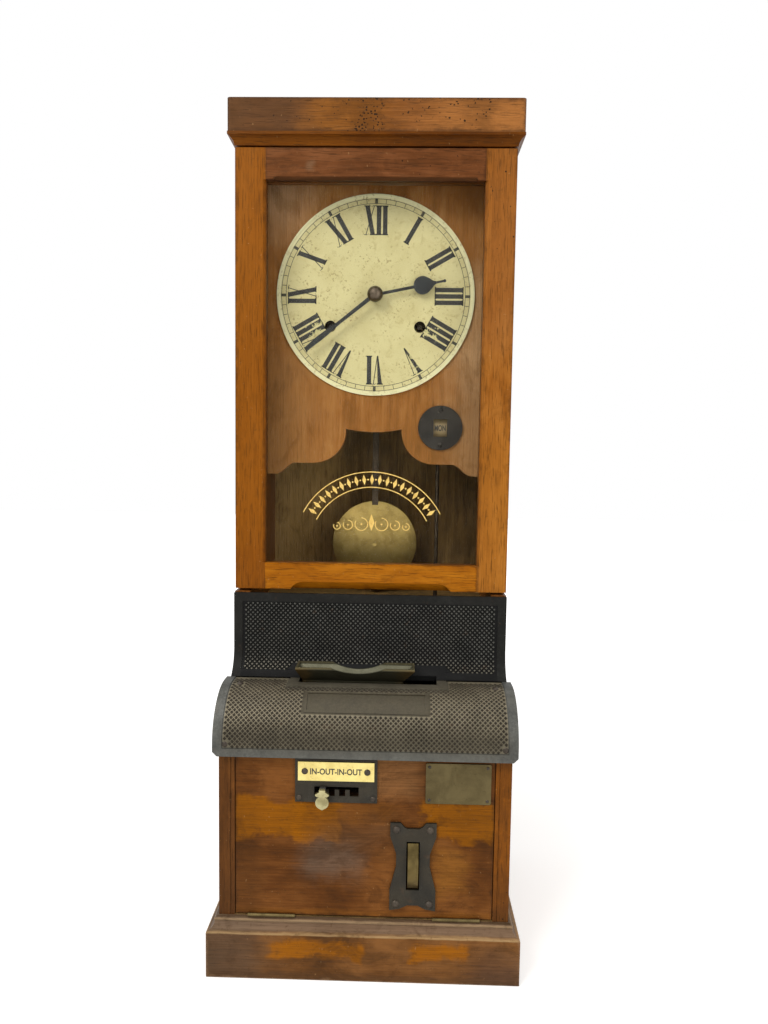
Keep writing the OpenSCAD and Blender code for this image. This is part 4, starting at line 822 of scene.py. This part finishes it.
HOURS = ["XII", "I", "II", "III", "IIII", "V", "VI", "VII", "VIII", "IX", "X", "XI"]
LETTER_WIDTH = {"I": 7.5 * MM, "V": 13.2 * MM, "X": 13.6 * MM}
FOOT_R, HEAD_R = 0.598 * DIAL_R, 0.888 * DIAL_R
THICK, THIN, SERIF = 5.3 * MM, 0.95 * MM, 0.85 * MM
FACE_Y = hi_dial.y - 1.6 * MM


class Numeral:
    """One hour's letters, drawn from left to right across their angle on the dial."""

    def __init__(self, pr, angle):
        self.pr, self.angle = pr, angle

    def place(self, pts):
        self.pr.poly(turned(DIAL_C, self.angle, pts))

    def serif(self, x, at_head, reach=3.7 * MM):
        q = HEAD_R if at_head else FOOT_R
        s = -SERIF if at_head else SERIF
        self.place([(x - reach, q), (x + reach, q), (x + reach, q + s), (x - reach, q + s)])
        for d in (-1, 1):
            self.place([(x + d * (THICK / 2 + 0.9 * MM), q + s), (x + d * THICK / 2 * 0.98, q + s),
                        (x + d * THICK / 2 * 0.98, q + s * 2.6)])

    def stroke(self, x_head, x_foot, width):
        self.place([(x_head - width / 2, HEAD_R), (x_head + width / 2, HEAD_R),
                    (x_foot + width / 2, FOOT_R), (x_foot - width / 2, FOOT_R)])

    def letter_i(self, u, width):
        middle = u + width / 2
        self.stroke(middle, middle, THICK)
        self.serif(middle, True)
        self.serif(middle, False)

    def letter_v(self, u, width):
        left, foot, right = u + 1.0 * MM, u + width / 2, u + width - 1.6 * MM
        self.place([(left, HEAD_R), (left + THICK, HEAD_R),
                    (foot + 1.0 * MM, FOOT_R), (foot - 0.6 * MM, FOOT_R)])
        self.stroke(right, foot + 0.5 * MM, THIN)
        self.serif(left + THICK / 2, True)
        self.serif(right, True, 2.2 * MM)

    def letter_x(self, u, width):
        thick_in, thin_in = 3.4 * MM, 1.8 * MM
        self.stroke(u + thick_in, u + width - thick_in, THICK)
        self.stroke(u + width - thin_in, u + thin_in, THIN)
        self.serif(u + thick_in, True)
        self.serif(u + width - thick_in, False)
        self.serif(u + width - thin_in, True, 2.0 * MM)
        self.serif(u + thin_in, False, 2.0 * MM)

    def write(self, text):
        draw = {"I": self.letter_i, "V": self.letter_v, "X": self.letter_x}
        u = -sum(LETTER_WIDTH[c] for c in text) / 2
        for c in text:
            draw[c](u, LETTER_WIDTH[c])
            u += LETTER_WIDTH[c]


def numerals():
    """The hours, worn beside the two winding holes and above the five."""
    lo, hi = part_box("right_barrel")
    hole_x, hole_z = (lo.x + hi.x) / 2, (lo.z + hi.z) / 2
    worn = [(side * (hole_x + 12 * MM), hole_z - 2 * MM) for side in (1, -1)]
    worn.append((48 * MM, hole_z - 45 * MM))
    pr = Print(FACE_Y)
    for i, text in enumerate(HOURS):
        Numeral(pr, 360.0 / len(HOURS) * i).write(text)
    m_ink = ink("dial_ink", (0.006, 0.007, 0.008), WORN_CREAM, worn, 26 * MM)
    pr.done("dial_numerals", m_ink, "case")


def minute_track():
    inner, outer, line = 0.906 * DIAL_R, 0.952 * DIAL_R, 0.3 * MM
    pr = Print(FACE_Y)
    for r in (inner, outer):
        pr.ring(DIAL_C, r - line, r + line)
    for i in range(60):
        tick = bar(0.32 * MM, inner, outer)
        if i % 5 == 0:
            tick = bar(1.7 * MM, inner + line, outer + 2 * line)
        pr.poly(turned(DIAL_C, 6.0 * i, tick))
    pr.done("dial_minute_track", ink("track_ink", (0.035, 0.034, 0.024), WORN_CREAM), "case")


plinth()
numerals()
minute_track()


# Knurled fields on the cover: small diamonds that follow the curved section

KNURL_STEP, KNURL_SINK = 5.5 * MM, -0.05 * MM
PAD_DEPTH, SCREW_CLEAR = 12.5 * MM, 5 * MM
FUNNEL_HALF, FUNNEL_TURN = 95 * MM, 31.0
HOOD_LENGTH = (HOOD_C[1] - lo_hood.z) + (HOOD_R - RAISE) * math.pi / 2
PLATE_STRAIGHT = hi_plate.z - HOLLOW_C[1]
HOOD_SCREWS = ((151 * MM, 13.2 * MM), (144 * MM, HOOD_LENGTH - 8 * MM))


def hood_point(s, off):
    """The y and z of a point on the hood and its angle from the top, at a length s up from the lower edge."""
    straight = HOOD_C[1] - lo_hood.z
    r = HOOD_R - RAISE
    if s <= straight:
        return HOOD_C[0] - r - off, lo_hood.z + s, 90.0
    a = (s - straight) / r
    if a < math.pi / 2:
        out, up = (r + off) * math.cos(a), (r + off) * math.sin(a)
        return HOOD_C[0] - out, HOOD_C[1] + up, 90.0 - math.degrees(a)
    return HOOD_C[0] + (a - math.pi / 2) * r, HOOD_C[1] + r + off, -1.0


def plate_point(s, off):
    """The y and z of a point on the back plate and its angle, at a length s down from the upper edge."""
    r = HOLLOW_R + RAISE - off
    if s <= PLATE_STRAIGHT:
        return HOLLOW_C[0] + r, hi_plate.z - s, 0.0
    a = (s - PLATE_STRAIGHT) / HOLLOW_R
    return HOLLOW_C[0] + r * math.cos(a), HOLLOW_C[1] - r * math.sin(a), math.degrees(a)


def in_lower_field(x, s, angle):
    """Leaves out the pad behind the slot, the tablet and the four screws."""
    if s > HOOD_LENGTH - PAD_DEPTH and abs(x) < PAD_HALF:
        return False
    if TABLET_TURN[0] < angle < TABLET_TURN[1] and abs(x) < TABLET_HALF:
        return False
    return not any(abs(abs(x) - screw_x) < SCREW_CLEAR and abs(s - screw_s) < SCREW_CLEAR
                   for screw_x, screw_s in HOOD_SCREWS)


def in_upper_field(x, s, angle):
    """Leaves out the place behind the card funnel."""
    return not (angle > FUNNEL_TURN and abs(x) < FUNNEL_HALF)


def diamond(point, x, s, half, off):
    corners = []
    for dx, ds in ((half, 0), (0, half), (-half, 0), (0, -half)):
        y, z, _ = point(s + ds, off)
        corners.append((x + dx, y, z))
    return corners


def knurl(name, point, s0, s1, x_half, keep, groove, top, high, mat, mat_top):
    """Rows of flat-topped diamonds from s0 to s1. Their tops have a material of their own."""
    verts, faces = [], []
    half = KNURL_STEP / 2 - groove
    rows = int((s1 - s0) / (KNURL_STEP / 2))
    step = (s1 - s0) / rows
    n = int(x_half / KNURL_STEP) + 1
    for j in range(rows):
        s = s0 + step * (j + 0.5)
        shift = 0.5 * (j % 2)
        angle = point(s, 0.0)[2]
        for i in range(-n, n + 1):
            x = (i + shift) * KNURL_STEP
            if abs(x) + half > x_half or not keep(x, s, angle):
                continue
            k = len(verts)
            verts += diamond(point, x, s, half, KNURL_SINK) + diamond(point, x, s, half * top, high)
            faces += [[k + 4, k + 5, k + 6, k + 7], [k + 3, k + 2, k + 1, k]]
            faces += [[k + e, k + (e + 1) % 4, k + 4 + (e + 1) % 4, k + 4 + e] for e in range(4)]
    ob = piece(name, verts, faces, mat, "case")
    face_outwards(ob)
    ob.data.materials.append(mat_top)
    for i in range(0, len(ob.data.polygons), 6):
        ob.data.polygons[i].material_index = 1


knurl("cover_knurl_lower", hood_point, LOWER_START, HOOD_LENGTH + 8 * MM, LOWER_HALF, in_lower_field,
      groove=0.62 * MM, top=0.55, high=0.8 * MM, mat=m_knurl_hood, mat_top=m_knurl_hood_top)
# On the upper plate the diamonds' tops get the lighter material: painted highlights.
knurl("cover_knurl_upper", plate_point, UPPER_START, PLATE_STRAIGHT + HOLLOW_R * math.radians(41), UPPER_HALF,
      in_upper_field, groove=0.25 * MM, top=0.52, high=0.9 * MM, mat=m_knurl_plate, mat_top=m_knurl_plate_highlight)


# Lettering: IN and OUT over the four notches, and the day on its drum

def front_middle(node, lift):
    """The middle of a piece's front, moved forward by a lift."""
    lo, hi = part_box(node)
    return (lo.x + hi.x) / 2, lo.y - lift, (lo.z + hi.z) / 2


def letters(name, text, mat, body, place, size, width, bold):
    """A line of words that faces -Y, stretched to a width, with its middle at a place."""
    cu = bpy.data.curves.new(name, "FONT")
    cu.body = text
    cu.size = size
    cu.align_x = "CENTER"
    cu.align_y = "CENTER"
    cu.extrude = 0.04 * MM
    cu.offset = bold
    tmp = add_object(name + "_tmp", cu)
    bpy.context.view_layer.update()
    me = bpy.data.meshes.new_from_object(tmp.evaluated_get(bpy.context.evaluated_depsgraph_get()))
    bpy.data.objects.remove(tmp)
    xs = [v.co.x for v in me.vertices]
    ys = [v.co.y for v in me.vertices]
    stretch = width / (max(xs) - min(xs))
    middle = (-(max(xs) + min(xs)) / 2, -(max(ys) + min(ys)) / 2, 0)
    me.transform(Matrix.Translation(place) @ Matrix.Rotation(math.pi / 2, 4, "X")
                 @ Matrix.Diagonal((stretch, 1, 1, 1)) @ Matrix.Translation(middle))
    me.name = name
    ob = add_object(name, me)
    me.materials.clear()
    me.materials.append(mat)
    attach(ob, body)


m_black = ink("plate_ink", (0.012, 0.012, 0.012), (0.50, 0.42, 0.14))
letters("in_out_letters", "IN-OUT-IN-OUT", m_black, "panel",
        front_middle("in_out_plate", 0.03 * MM), size=9.2 * MM, width=56.5 * MM, bold=0.22 * MM)
letters("day_letters", "MON", m_black, "day_drum",
        front_middle("day_wheel", 0.1 * MM), size=9.5 * MM, width=13.6 * MM, bold=0.3 * MM)


def gilt_ornament():
    """On the back of the pane: diamonds and dots between two arcs, and scrolls either side of a diamond."""
    centre = (0.0, 464.5 * MM)
    inner, middle, outer = 73.5 * MM, 83.1 * MM, 91.5 * MM
    step = 6.4
    scrolls = ((12.0, 30.0, 7.0), (28.0, 29.0, 5.0), (41.0, 27.5, 3.5))
    pr = Print(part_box("door_glass")[1].y + 0.12 * MM, 0.1 * MM)
    for r in (inner, outer):
        pr.ring(centre, r, r + 1.1 * MM, -62, 62, 90)
    for i in range(-9, 10):
        pr.poly(turned(centre, i * step, kite(2.4 * MM, 6.2 * MM, middle)))
    for i in range(-9, 9):
        pr.disc(turned(centre, (i + 0.5) * step, [(0, middle)])[0], 1.0 * MM)
    for side in (-1, 1):
        for across, up, r in scrolls:
            c = (centre[0] + side * across * MM, centre[1] + up * MM)
            pr.ring(c, r * MM, (r + 1.0) * MM, 0, 300, 40)
            pr.disc(c, 1.1 * MM)
    pr.poly(turned(centre, 0.0, kite(3.5 * MM, 10 * MM, 32 * MM)))
    pr.done("pane_gilt_ornament", m_gold, "door")


gilt_ornament()


# Floor, light and camera

def pale_floor():
    """What the camera sees of the floor is lifted to white, and the shadow stays."""
    m = Mat("floor_pale")
    tone = m.remap(m.noise(m.co, 3.0, 2.0), 0.3, 0.7, 0.84, 0.87)
    lift = m.remap(m.length(m.x, m.y), 0.25, 2.2, 0.45, 0.95)
    m.col = m.vec(tone, tone, tone)
    m.surface(0.9, Emission_Color=(1.0, 1.0, 1.0), Emission_Strength=m.times(m.seen(), lift))
    half = 6.0
    me = bpy.data.meshes.new("floor")
    corners = [(-half, -half, 0), (half, -half, 0), (half, half, 0), (-half, half, 0)]
    me.from_pydata(corners, [], [[0, 1, 2, 3]])
    me.materials.append(m.mat)
    floor = add_object("floor", me)
    floor.location.z = -0.4 * MM


def studio_world():
    """Soft light all round, which the camera sees as white."""
    world = bpy.data.worlds.new("studio")
    bpy.context.scene.world = world
    world.use_nodes = True
    w = Nodes(world.node_tree)
    soft = w.set(w.add("Background"), Color=(1.0, 0.985, 0.96), Strength=0.50)
    white = w.set(w.add("Background"), Color=(1.0, 1.0, 1.0), Strength=1.0)
    w.end("OutputWorld", w.blend(w.seen(), soft, white))


def area(name, at, to, size, power):
    la = bpy.data.lights.new(name, "AREA")
    la.shape = "RECTANGLE"
    la.size, la.size_y = size
    la.energy = power
    la.color = (1.0, 0.97, 0.92)
    ob = add_object(name, la)
    ob.location = at
    ob.rotation_euler = (Vector(to) - Vector(at)).to_track_quat("-Z", "Y").to_euler()


def photo_camera():
    """The pinhole camera that was fitted to the photo, with its turns in radians."""
    photo_height, lens_in_pixels = 1024.0, 739.0
    at = (35.0 * MM, -908.3 * MM, 576.6 * MM)
    yaw, pitch, roll = -0.0232, -0.0768, 0.0142
    data = bpy.data.cameras.new("camera")
    data.sensor_fit = "VERTICAL"
    data.sensor_height = 36.0
    data.sensor_width = 27.0
    data.lens = lens_in_pixels / photo_height * data.sensor_height
    data.clip_start = 10 * MM
    ahead = Vector((math.sin(yaw) * math.cos(pitch), math.cos(yaw) * math.cos(pitch), math.sin(pitch)))
    level = ahead.cross(Vector((0, 0, 1))).normalized()
    upright = level.cross(ahead)
    right = level * math.cos(roll) + upright * math.sin(roll)
    up = upright * math.cos(roll) - level * math.sin(roll)
    cam = add_object("camera", data)
    cam.matrix_world = Matrix.Translation(at) @ Matrix((right, up, -ahead)).transposed().to_4x4()
    bpy.context.scene.camera = cam


pale_floor()
studio_world()
area("key", (-1.35, -1.8, 2.35), (0, 0, 0.5), (1.2, 1.2), 44.0)
area("fill", (1.6, -1.7, 1.1), (0, 0, 0.45), (1.2, 1.6), 14.0)
area("top", (0.0, -0.5, 2.6), (0, 0, 0.4), (1.4, 1.0), 12.0)
photo_camera()

bpy.context.scene.view_settings.view_transform = "Standard"

bpy.context.view_layer.update()
